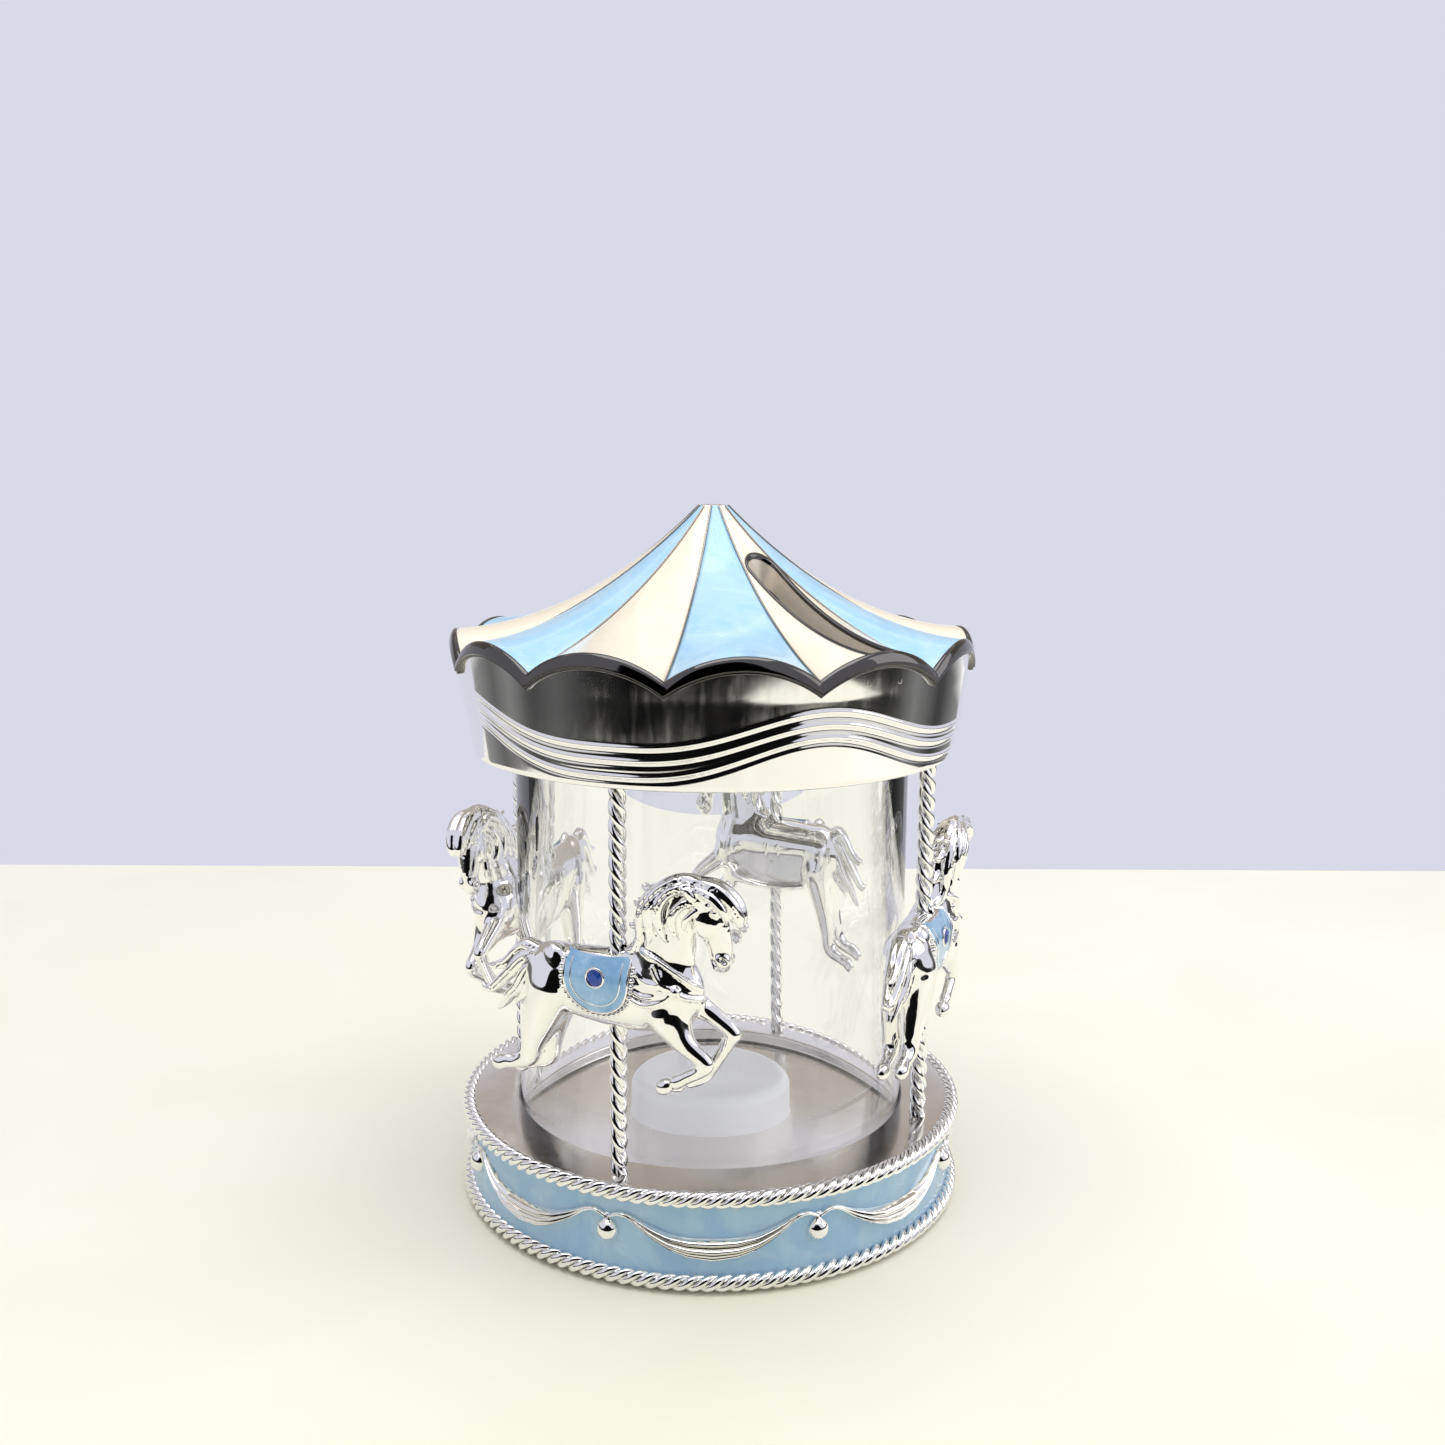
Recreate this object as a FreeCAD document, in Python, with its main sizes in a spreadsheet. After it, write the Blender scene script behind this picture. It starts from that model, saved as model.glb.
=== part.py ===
import FreeCAD, Part
import math
import os
import Sketcher

# A silver-plated carousel coin bank. A hollow round base carries a clear coin tube and four twisted
# poles with a horse on each, and the poles carry a scalloped roof with a coin slot. The stopper in the
# floor pulls out downwards to empty the bank.
# Frame: millimetres, +Z up, the origin on the rest plane under the centre of the base. The poles stand
# on the four axes, and each horse faces anticlockwise as seen from above.

DIMENSIONS = (
    # Base
    ("drum_radius", 45.3, "outside of the cast drum wall"),
    ("drum_wall", 2.2, "drum wall thickness"),
    ("deck_height", 17.2, "top of the deck above the rest plane"),
    ("deck_thickness", 2.0, "deck and floor thickness"),
    ("recess_depth", 2.0, "floor below the deck, inside the tube"),
    ("pad_thickness", 1.0, "soft pad under the base"),
    ("pad_inner_margin", 2.0, "hole in the soft pad, beyond the cover's hole"),
    ("drum_enamel_thickness", 0.5, "enamel on the drum wall"),
    ("rope_wire_radius", 1.45, "radius of each rope moulding"),
    ("rope_proud", 0.75, "rope centre line outside the drum wall"),
    ("rope_lower_height", 1.75, "lower rope centre above the rest plane"),
    ("rope_upper_drop", 0.9, "upper rope centre below the deck top"),
    ("bead_radius", 2.0, "half-round beads on the drum"),
    ("bead_proud", 0.15, "bead centre outside the drum wall"),
    ("bead_height", 9.3, "bead centre above the rest plane"),
    ("swag_low_height", 7.4, "swag centre line at its lowest"),
    ("swag_end_height", 12.2, "swag centre line at its ends"),
    ("swag_mid_radius", 1.9, "swag thickness radius in the middle"),
    ("swag_end_radius", 0.45, "swag thickness radius at its ends"),
    ("swag_end_gap", 4.0, "degrees from a swag's end to the bead line"),
    # Stopper and base cover
    ("stopper_radius", 14.9, "plug of the stopper"),
    ("stopper_clearance", 0.05, "radial clearance of the plug in the floor"),
    ("stopper_proud", 6.5, "stopper top above the floor"),
    ("stopper_edge", 1.2, "bevel round the stopper's top"),
    ("stopper_flange_width", 2.3, "flange beyond the plug, under the floor"),
    ("stopper_seat_gap", 0.08, "flange below the floor when the stopper is in"),
    ("stopper_flange_thickness", 1.5, "flange thickness"),
    ("stopper_wall", 2.5, "stopper wall and top thickness"),
    ("tab_thickness", 2.2, "pull tab across the stopper's hollow"),
    ("tab_drop", 4.5, "pull tab below the flange"),
    ("cover_thickness", 2.4, "base cover plate"),
    ("cover_clearance", 0.1, "radial clearance of the cover in the drum"),
    ("finger_hole_margin", 4.5, "hole in the cover, beyond the stopper's flange"),
    ("cover_screw_inset", 3.4, "circle of the cover screws, inside the tube's outside"),
    ("boss_radius", 2.6, "screw bosses"),
    ("screw_radius", 0.95, "screw shank"),
    ("screw_clearance", 0.05, "radial clearance round a screw shank"),
    ("screw_head_radius", 1.8, "screw head"),
    ("screw_head_height", 1.2, "screw head"),
    ("screw_bite", 5.0, "length of screw inside its boss"),
    # Tube, poles and canopy plate
    ("tube_radius", 36.4, "outside of the clear tube"),
    ("tube_wall", 3.0, "tube wall"),
    ("tube_clearance", 0.1, "radial clearance of the tube in its seats"),
    ("tube_seat_depth", 1.0, "tube inside the canopy plate"),
    ("pole_band_gap", 0.15, "poles inside the band's lower edge"),
    ("pole_radius", 1.55, "twisted pole"),
    ("pole_length", 74.8, "deck top to canopy plate"),
    ("spigot_radius", 0.9, "threaded end of a pole"),
    ("spigot_clearance", 0.1, "radial clearance round a threaded end"),
    ("nut_corner_radius", 1.8, "hexagon nut, centre to corner"),
    ("nut_height", 1.5, "hexagon nut"),
    ("plate_thickness", 2.5, "canopy plate"),
    ("plate_clearance", 0.15, "radial clearance of the plate in the band"),
    # Fascia band
    ("band_drop", 8.5, "band's lower edge below the canopy plate"),
    ("band_lower_radius", 43.8, "outside of the band at its lower edge"),
    ("band_upper_radius", 46.5, "outside of the band under the rim"),
    ("band_taper_rise", 6.0, "top of the band's taper above the canopy plate's underside"),
    ("band_wall", 1.1, "band wall"),
    ("band_lip_radius", 0.45, "rolled lower edge"),
    # Roof, with its heights above the canopy plate's underside
    ("roof_apex_radius", 3.0, "seam line's inner point"),
    ("roof_apex_rise", 35.3, "seam line's inner point"),
    ("roof_mid_radius", 20.0, "seam line's middle point"),
    ("roof_mid_rise", 21.6, "seam line's middle point"),
    ("roof_eave_radius", 47.5, "seam line's outer point"),
    ("roof_eave_rise", 9.0, "seam line's outer point"),
    ("lobe_height", 4.3, "rise of a lobe above its seams at the eave"),
    ("slot_azimuth", -32.33, "middle of the lobe with the coin slot"),
    ("shell_thickness", 2.0, "cast roof"),
    ("panel_thickness", 0.5, "enamel panels"),
    ("seam_half_width", 0.12, "half the silver line between panels"),
    ("rim_radius", 47.9, "outside of the scalloped rim"),
    ("rim_width", 1.3, "rim, radially"),
    ("rim_depth", 2.6, "rim, vertically"),
    ("slot_width", 5.8, "coin slot"),
    ("slot_start_radius", 12.4, "upper end of the coin slot"),
    ("slot_liner_wall", 0.9, "walls under the slot's edges"),
    ("slot_liner_depth", 3.0, "walls below the shell"),
    ("cap_radius", 2.75, "finial cap"),
    ("cap_stem_radius", 1.6, "finial cap's stem"),
    ("cap_clearance", 0.05, "radial clearance round the cap and its stem"),
    ("cap_seat_drop", 0.4, "cap seat below the seam line's inner point"),
    ("cap_thickness", 1.0, "cap above its seat"),
    ("cap_stem_length", 2.4, "stem below the seat"),
    # Horses, with their places measured from the pole's centre line and the horse's ride height
    ("horse_ride_share", 0.43316, "middle of the barrel above the deck, as a share of the pole's length"),
    ("horse_bore_clearance", 0.05, "radial clearance of the pole in the horse"),
    ("saddle_thickness", 0.55, "saddle cloth"),
    ("saddle_width", 11.6, "saddle cloth, along the horse"),
    ("saddle_top_rise", 6.0, "saddle cloth's upper edge above the ride height"),
    ("saddle_drop", 2.9, "saddle cloth's lowest point below the ride height"),
    ("saddle_offset", -2.1, "middle of the saddle cloth in front of the pole"),
    ("gem_radius", 1.55, "gem"),
    ("gem_depth", 1.5, "gem, from its seat to its table"),
    ("gem_seat", 3.6, "gem's back outside the pole's centre line"),
    ("gem_rise", 2.8, "gem above the ride height"),
    ("pin_radius", 0.6, "pin that locks a horse to its pole"),
    ("pin_reach", 3.9, "pin's outer end from the pole's centre line"),
)

LOBES = 12
POLES = 4
BEADS = 8
SCREWS = 4
LOBE_HALF_ANGLE = math.pi / LOBES
LOBE_CURVE = 2.8  # how late the lobes rise towards the eave
ROOF_STATIONS = (1.2, 3.5, 7.0, 12.0, 18.0, 25.0, 32.0, 40.0, 49.5)

doc = FreeCAD.newDocument("carousel_coin_bank")
sheet = doc.addObject("Spreadsheet::Sheet", "dims")
for row, (alias, number, meaning) in enumerate(DIMENSIONS, start=1):
    sheet.set("A%d" % row, meaning)
    sheet.set("B%d" % row, str(number))
    sheet.setAlias("B%d" % row, alias)
doc.recompute()


class Size:
    """A size kept both as an expression on the sheet and as its number."""

    def __init__(self, text, value):
        self.text = text
        self.value = value

    def joined(self, sign, other, value):
        other_text = other.text if isinstance(other, Size) else "%.9g" % other
        return Size("(%s %s %s)" % (self.text, sign, other_text), value)

    def __add__(self, other):
        return self.joined("+", other, self.value + as_number(other))

    def __sub__(self, other):
        return self.joined("-", other, self.value - as_number(other))

    def __mul__(self, other):
        return self.joined("*", other, self.value * as_number(other))


def as_number(item):
    return item.value if isinstance(item, Size) else float(item)


def size(alias):
    """The named size on the sheet."""
    return Size("dims." + alias, float(sheet.get(alias)))


def mm(alias):
    """The named size as a plain number."""
    return size(alias).value


ZERO = Size("0", 0.0)
sub_parts = []

# Heights and radii that several pieces share.
DECK_TOP = size("deck_height")
FLOOR_TOP = DECK_TOP - size("recess_depth")
FLOOR_UNDERSIDE = FLOOR_TOP - size("deck_thickness")
DRUM_BOTTOM = size("pad_thickness")
COVER_TOP = DRUM_BOTTOM + size("cover_thickness")
PLATE_BOTTOM = DECK_TOP + size("pole_length")
PLATE_TOP = PLATE_BOTTOM + size("plate_thickness")
BAND_BOTTOM = PLATE_BOTTOM - size("band_drop")
TAPER_TOP = PLATE_BOTTOM + size("band_taper_rise")
RECESS_RADIUS = size("tube_radius") + size("tube_clearance")
DRUM_INNER = size("drum_radius") - size("drum_wall")
ROPE_RADIUS = size("drum_radius") + size("rope_proud")
SCREW_HOLE = size("screw_radius") + size("screw_clearance")
RIM_INNER = size("rim_radius") - size("rim_width")
STOPPER_FLANGE = size("stopper_radius") + size("stopper_flange_width")
FINGER_HOLE = STOPPER_FLANGE + size("finger_hole_margin")
COVER_SCREW_RING = size("tube_radius") - size("cover_screw_inset")
POLE_RING = size("band_lower_radius") - size("band_wall") - size("pole_radius") - size("pole_band_gap")
RIDE_HEIGHT = DECK_TOP + size("pole_length") * size("horse_ride_share")


def finished(item, name):
    """Records a finished sub-part under its node name."""
    item.Label = name
    sub_parts.append(item)
    return item


def bind(item, **sizes):
    """Ties the item's properties to sizes on the sheet."""
    for name, length in sizes.items():
        item.setExpression(name, length.text)


def origin_plane(body, role):
    return next(f for f in body.Origin.OriginFeatures if f.Role == role)


def constrain(sketch, kind, places, length):
    index = sketch.addConstraint(Sketcher.Constraint(kind, *places, length.value))
    sketch.setExpression("Constraints[%d]" % index, length.text)


def turned_body(name, corners):
    """A turned piece: a closed profile of (radius, height) corners, spun about Z."""
    body = doc.addObject("PartDesign::Body", name + "_body")
    sketch = body.newObject("Sketcher::SketchObject", name + "_profile")
    sketch.AttachmentSupport = [(origin_plane(body, "XZ_Plane"), "")]
    sketch.MapMode = "FlatFace"
    count = len(corners)
    points = [FreeCAD.Vector(radius.value, height.value, 0) for radius, height in corners]
    for i in range(count):
        sketch.addGeometry(Part.LineSegment(points[i], points[(i + 1) % count]))
    for i, (radius, height) in enumerate(corners):
        sketch.addConstraint(Sketcher.Constraint("Coincident", i, 2, (i + 1) % count, 1))
        constrain(sketch, "DistanceX", (-1, 1, i, 1), radius)
        constrain(sketch, "DistanceY", (-1, 1, i, 1), height)
    turned = body.newObject("PartDesign::Revolution", name + "_turned")
    turned.Profile = sketch
    turned.ReferenceAxis = (sketch, ["V_Axis"])
    turned.Angle = 360
    return body


def ring_feature(body, kind, name, count, azimuth, ring_radius, radius, height, length):
    """Round bosses ("Pad", up from height) or holes ("Pocket", down from height) on a circle."""
    sketch = body.newObject("Sketcher::SketchObject", name + "_circle")
    sketch.AttachmentSupport = [(origin_plane(body, "XY_Plane"), "")]
    sketch.MapMode = "FlatFace"
    turn = FreeCAD.Rotation(FreeCAD.Vector(0, 0, 1), azimuth)
    sketch.AttachmentOffset = FreeCAD.Placement(FreeCAD.Vector(0, 0, height.value), turn)
    sketch.setExpression("AttachmentOffset.Base.z", height.text)
    centre = FreeCAD.Vector(ring_radius.value, 0, 0)
    sketch.addGeometry(Part.Circle(centre, FreeCAD.Vector(0, 0, 1), radius.value))
    sketch.addConstraint(Sketcher.Constraint("PointOnObject", 0, 3, -1))
    constrain(sketch, "DistanceX", (-1, 1, 0, 3), ring_radius)
    constrain(sketch, "Radius", (0,), radius)
    feature = body.newObject("PartDesign::" + kind, name)
    feature.Profile = sketch
    bind(feature, Length=length)
    pattern = body.newObject("PartDesign::PolarPattern", name + "_ring")
    pattern.Originals = [feature]
    pattern.Axis = (sketch, ["N_Axis"])
    pattern.Angle = 360
    pattern.Occurrences = count
    body.Tip = pattern


def cylinder(name, radius, height, bottom, x=ZERO, y=ZERO):
    item = doc.addObject("Part::Cylinder", name)
    bind(item, Radius=radius, Height=height)
    item.setExpression("Placement.Base.x", x.text)
    item.setExpression("Placement.Base.y", y.text)
    item.setExpression("Placement.Base.z", bottom.text)
    return item


def feature(name, shape):
    """A piece whose shape is built with Part's own functions from the sheet's sizes."""
    item = doc.addObject("Part::Feature", name + "_solid")
    item.Shape = shape
    item.Placement = FreeCAD.Placement()
    return item


def polar(radius, degrees, height=0.0):
    angle = math.radians(degrees)
    return FreeCAD.Vector(radius * math.cos(angle), radius * math.sin(angle), height)


def turned_copies(shape, count, start=0.0):
    """Copies of a shape spread evenly round the Z axis."""
    copies = []
    for i in range(count):
        copy = shape.copy()
        copy.rotate(FreeCAD.Vector(0, 0, 0), FreeCAD.Vector(0, 0, 1), start + 360.0 * i / count)
        copies.append(copy)
    return copies


def upright(radius, bottom, top, at=None):
    """A plain vertical cylinder between two heights."""
    foot = at if at else FreeCAD.Vector(0, 0, 0)
    return Part.makeCylinder(radius, top - bottom, FreeCAD.Vector(foot.x, foot.y, bottom))


# ---------------------------------------------------------------- base

def make_base_casting():
    outer = size("drum_radius")
    hole = size("stopper_radius") + size("stopper_clearance")
    step = RECESS_RADIUS + size("deck_thickness")
    deck_underside = DECK_TOP - size("deck_thickness")
    body = turned_body("base_casting", (
        (outer, DRUM_BOTTOM), (outer, DECK_TOP), (RECESS_RADIUS, DECK_TOP), (RECESS_RADIUS, FLOOR_TOP),
        (hole, FLOOR_TOP), (hole, FLOOR_UNDERSIDE), (step, FLOOR_UNDERSIDE), (step, deck_underside),
        (DRUM_INNER, deck_underside), (DRUM_INNER, DRUM_BOTTOM),
    ))
    ring = COVER_SCREW_RING
    ring_feature(body, "Pad", "cover_bosses", SCREWS, 45, ring, size("boss_radius"), COVER_TOP,
                 FLOOR_UNDERSIDE - COVER_TOP)
    depth = size("screw_bite")
    ring_feature(body, "Pocket", "cover_screw_holes", SCREWS, 45, ring, SCREW_HOLE, COVER_TOP + depth, depth)
    spigot_hole = size("spigot_radius") + size("spigot_clearance")
    ring_feature(body, "Pocket", "pole_holes", POLES, 0, POLE_RING, spigot_hole, DECK_TOP,
                 size("deck_thickness"))
    return finished(body, "base_casting")


def make_rope_ring(name, height):
    """A rope moulding: a wire ring let into the drum wall."""
    wire = doc.addObject("Part::Torus", name + "_wire")
    bind(wire, Radius1=ROPE_RADIUS, Radius2=size("rope_wire_radius"))
    wire.setExpression("Placement.Base.z", height.text)
    core = cylinder(name + "_core", size("drum_radius"), size("rope_wire_radius") * 4,
                    height - size("rope_wire_radius") * 2)
    ring = doc.addObject("Part::Cut", name + "_ring")
    ring.Base = wire
    ring.Tool = core
    return finished(ring, name)


def make_swags():
    """Eight hanging swags, one between each pair of beads, flat against the drum wall."""
    half = 180.0 / BEADS - mm("swag_end_gap")
    sections = 7
    rings = []
    for i in range(sections):
        share = 2.0 * i / (sections - 1) - 1.0
        fall = mm("swag_end_height") - mm("swag_low_height")
        height = mm("swag_low_height") + fall * share ** 2
        radius = mm("swag_mid_radius") - (mm("swag_mid_radius") - mm("swag_end_radius")) * share ** 2
        centre = polar(mm("drum_radius"), half * share, height)
        along = polar(1.0, 90.0 + half * share, 2.0 * fall * share / math.radians(half) / mm("drum_radius"))
        rings.append(Part.Wire(Part.Circle(centre, along, radius).toShape()))
    swag = Part.makeLoft(rings, True, False)
    swag = swag.cut(upright(mm("drum_radius"), 0, mm("deck_height")))
    swags = turned_copies(swag, BEADS, 180.0 / BEADS)
    return finished(feature("swags", Part.makeCompound(swags)), "swags")


def make_drum_beads():
    centre = FreeCAD.Vector(mm("drum_radius") + mm("bead_proud"), 0, mm("bead_height"))
    bead = Part.makeSphere(mm("bead_radius"), centre).cut(upright(mm("drum_radius"), 0, mm("deck_height")))
    beads = turned_copies(bead, BEADS)
    return finished(feature("drum_beads", Part.makeCompound(beads)), "drum_beads")


def make_drum_enamel(trims):
    """The enamel between the ropes, round the swags and beads."""
    inner = size("drum_radius")
    outer = inner + size("drum_enamel_thickness")
    low = size("rope_lower_height")
    high = DECK_TOP - size("rope_upper_drop")
    sleeve = turned_body("enamel_sleeve", ((inner, low), (outer, low), (outer, high), (inner, high)))
    trim_pieces = doc.addObject("Part::Compound", "drum_trims")
    trim_pieces.Links = trims
    enamel = doc.addObject("Part::Cut", "drum_enamel_cut")
    enamel.Base = sleeve
    enamel.Tool = trim_pieces
    return finished(enamel, "drum_enamel")


def make_base_cover():
    """The ring plate that closes the base, with a finger hole under the stopper."""
    outer = DRUM_INNER - size("cover_clearance")
    inner = FINGER_HOLE
    body = turned_body("base_cover", (
        (inner, DRUM_BOTTOM), (outer, DRUM_BOTTOM), (outer, COVER_TOP), (inner, COVER_TOP),
    ))
    ring = COVER_SCREW_RING
    ring_feature(body, "Pocket", "cover_holes", SCREWS, 45, ring, SCREW_HOLE, COVER_TOP,
                 size("cover_thickness"))
    head_hole = size("screw_head_radius") + size("screw_clearance")
    ring_feature(body, "Pocket", "cover_head_holes", SCREWS, 45, ring, head_hole,
                 DRUM_BOTTOM + size("screw_head_height"), size("screw_head_height"))
    return finished(body, "base_cover")


def make_base_pad():
    outer = size("drum_radius")
    inner = FINGER_HOLE + size("pad_inner_margin")
    body = turned_body("base_pad", ((inner, ZERO), (outer, ZERO), (outer, DRUM_BOTTOM), (inner, DRUM_BOTTOM)))
    return finished(body, "base_pad")


def make_screws(name, ring_radius, head_bottom, grip, azimuth):
    """Screws on a circle, heads down: grip is the plate between the head and the boss."""
    head = upright(mm("screw_head_radius"), head_bottom, head_bottom + mm("screw_head_height"),
                   polar(ring_radius, 0))
    shank_top = head_bottom + mm("screw_head_height") + grip + mm("screw_bite")
    shank = upright(mm("screw_radius"), head_bottom, shank_top, polar(ring_radius, 0))
    screws = turned_copies(head.fuse(shank).removeSplitter(), SCREWS, azimuth)
    return finished(feature(name, Part.makeCompound(screws)), name)


def make_stopper():
    """The pull-out stopper: a hollow plug with a flange under the floor and a pull tab."""
    radius = size("stopper_radius")
    top = FLOOR_TOP + size("stopper_proud")
    edge = size("stopper_edge")
    flange = STOPPER_FLANGE
    flange_top = FLOOR_UNDERSIDE - size("stopper_seat_gap")
    foot = flange_top - size("stopper_flange_thickness")
    bore = radius - size("stopper_wall")
    ceiling = top - size("stopper_wall")
    plug = turned_body("stopper_plug", (
        (ZERO, ceiling), (bore, ceiling), (bore, foot), (flange, foot), (flange, flange_top),
        (radius, flange_top), (radius, top - edge), (radius - edge, top), (ZERO, top),
    ))
    tab = doc.addObject("Part::Box", "stopper_tab")
    bind(tab, Length=bore * 2, Width=size("tab_thickness"), Height=ceiling - foot + size("tab_drop"))
    tab.setExpression("Placement.Base.x", (bore * -1).text)
    tab.setExpression("Placement.Base.y", (size("tab_thickness") * -0.5).text)
    tab.setExpression("Placement.Base.z", (foot - size("tab_drop")).text)
    joined = doc.addObject("Part::MultiFuse", "stopper_joined")
    joined.Shapes = [plug, tab]
    return finished(joined, "stopper")


# ---------------------------------------------------------------- tube, poles and canopy plate

def make_coin_tube():
    outer = cylinder("tube_outside", size("tube_radius"),
                     PLATE_BOTTOM + size("tube_seat_depth") - FLOOR_TOP, FLOOR_TOP)
    inner = cylinder("tube_inside", size("tube_radius") - size("tube_wall"),
                     PLATE_BOTTOM + size("tube_seat_depth") - FLOOR_TOP, FLOOR_TOP)
    tube = doc.addObject("Part::Cut", "coin_tube_cut")
    tube.Base = outer
    tube.Tool = inner
    return finished(tube, "coin_tube")


def band_radius(height):
    """Outside of the fascia band at a height: a straight taper."""
    share = (height.value - BAND_BOTTOM.value) / (TAPER_TOP.value - BAND_BOTTOM.value)
    share = min(1.0, max(0.0, share))
    spread = size("band_upper_radius") - size("band_lower_radius")
    return size("band_lower_radius") + spread * share


def make_canopy_plate():
    """The ring plate that seats the tube and takes the pole ends."""
    inner = size("tube_radius") - size("tube_wall")
    outer = band_radius(PLATE_BOTTOM) - size("band_wall") - size("plate_clearance")
    seat = PLATE_BOTTOM + size("tube_seat_depth")
    body = turned_body("canopy_plate", (
        (inner, seat), (RECESS_RADIUS, seat), (RECESS_RADIUS, PLATE_BOTTOM), (outer, PLATE_BOTTOM),
        (outer, PLATE_TOP), (inner, PLATE_TOP),
    ))
    spigot_hole = size("spigot_radius") + size("spigot_clearance")
    ring_feature(body, "Pocket", "plate_pole_holes", POLES, 0, POLE_RING, spigot_hole,
                 PLATE_TOP, size("plate_thickness"))
    ring_feature(body, "Pocket", "plate_screw_holes", SCREWS, screw_azimuth(), POLE_RING,
                 SCREW_HOLE, PLATE_TOP, size("plate_thickness"))
    return finished(body, "canopy_plate")


def screw_azimuth():
    """The roof's screws stand under its seams."""
    return mm("slot_azimuth") - 180.0 / LOBES


def make_pole(name, azimuth):
    """A pole with a threaded end through the deck and one through the canopy plate."""
    spigot_bottom = mm("deck_height") - mm("deck_thickness") - mm("nut_height")
    spigot_top = PLATE_TOP.value + mm("nut_height")
    rod = upright(mm("pole_radius"), mm("deck_height"), PLATE_BOTTOM.value)
    rod = rod.fuse(upright(mm("spigot_radius"), spigot_bottom, spigot_top)).removeSplitter()
    item = feature(name, rod)
    item.Placement = FreeCAD.Placement(polar(POLE_RING.value, azimuth), FreeCAD.Rotation())
    return finished(item, name)


def make_nuts(name, bottom):
    """One hexagon nut on each pole end."""
    corners = [polar(mm("nut_corner_radius"), 60.0 * i, bottom) for i in range(7)]
    nut = Part.Face(Part.makePolygon(corners)).extrude(FreeCAD.Vector(0, 0, mm("nut_height")))
    nut = nut.cut(upright(mm("spigot_radius"), bottom, bottom + mm("nut_height")))
    nut.translate(polar(POLE_RING.value, 0))
    return finished(feature(name, Part.makeCompound(turned_copies(nut, POLES))), name)


# ---------------------------------------------------------------- roof

def circle_through(first, second, third):
    """Centre and radius of the circle through three (radius, height) points."""
    (ax, az), (bx, bz), (cx, cz) = first, second, third
    twice_area = 2.0 * (ax * (bz - cz) + bx * (cz - az) + cx * (az - bz))
    squares = (ax ** 2 + az ** 2, bx ** 2 + bz ** 2, cx ** 2 + cz ** 2)
    x = (squares[0] * (bz - cz) + squares[1] * (cz - az) + squares[2] * (az - bz)) / twice_area
    z = (squares[0] * (cx - bx) + squares[1] * (ax - cx) + squares[2] * (bx - ax)) / twice_area
    return x, z, math.hypot(ax - x, az - z)


def seam_height(radius):
    """Height of the seam line between two lobes: a sagging arc through its three named points."""
    places = [(mm("roof_%s_radius" % place), PLATE_BOTTOM.value + mm("roof_%s_rise" % place))
              for place in ("apex", "mid", "eave")]
    x, z, arc_radius = circle_through(*places)
    return z - math.sqrt(arc_radius ** 2 - (radius - x) ** 2)


def crest_height(distance):
    return seam_height(distance) + mm("lobe_height") * (distance / mm("roof_eave_radius")) ** LOBE_CURVE


def lobe_section(distance, inset, lift, drop):
    """A lobe's cross-section at a distance along its crest: an arched strip between its two seams."""
    half = distance * math.tan(LOBE_HALF_ANGLE) - inset
    side_height = seam_height(distance / math.cos(LOBE_HALF_ANGLE))
    full_half = distance * math.tan(LOBE_HALF_ANGLE)
    arch = crest_height(distance) - side_height
    arch_radius = (full_half ** 2 + arch ** 2) / (2.0 * arch)
    fall = arch_radius - math.sqrt(arch_radius ** 2 - half ** 2)

    def edge(shift):
        top = crest_height(distance) + shift
        return [FreeCAD.Vector(distance, y, top - sink) for y, sink in ((-half, fall), (0, 0), (half, fall))]

    upper = edge(lift)
    lower = edge(-drop)
    return Part.Wire([
        Part.Arc(*upper).toShape(),
        Part.LineSegment(upper[2], lower[2]).toShape(),
        Part.Arc(*reversed(lower)).toShape(),
        Part.LineSegment(lower[0], upper[0]).toShape(),
    ])


def lobe(inset, lift, drop):
    """One lobe of the roof about the +X direction, as thick as lift and drop say."""
    stations = [d for d in ROOF_STATIONS if d * math.tan(LOBE_HALF_ANGLE) > 2.0 * inset]
    return Part.makeLoft([lobe_section(d, inset, lift, drop) for d in stations], True, False)


def rim_segment():
    """The scalloped rim over one lobe."""
    ring = upright(mm("rim_radius"), 0, 2 * PLATE_TOP.value).cut(upright(RIM_INNER.value, 0, 2 * PLATE_TOP.value))
    reach = mm("rim_radius") * 2
    spread = reach * math.tan(LOBE_HALF_ANGLE)
    wedge = Part.Face(Part.makePolygon([
        FreeCAD.Vector(0, 0, 0), FreeCAD.Vector(reach, -spread, 0), FreeCAD.Vector(reach, spread, 0),
        FreeCAD.Vector(0, 0, 0),
    ])).extrude(FreeCAD.Vector(0, 0, 2 * PLATE_TOP.value))
    section = lobe_section(RIM_INNER.value, -0.6, 0.0, mm("rim_depth"))
    strip = Part.Face(section).extrude(FreeCAD.Vector(2 * mm("rim_width"), 0, 0))
    strip.translate(FreeCAD.Vector(-0.5 * mm("rim_width"), 0, 0))
    return ring.common(wedge).common(strip)


def slot_tool(grow, low, high):
    """The coin slot's outline as a prism: straight sides with a round upper end."""
    half = mm("slot_width") / 2 + grow
    start = mm("slot_start_radius") + mm("slot_width") / 2
    box = Part.makeBox(RIM_INNER.value - start, 2 * half, high - low, FreeCAD.Vector(start, -half, low))
    return box.fuse(upright(half, low, high, FreeCAD.Vector(start, 0, 0))).removeSplitter()


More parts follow.
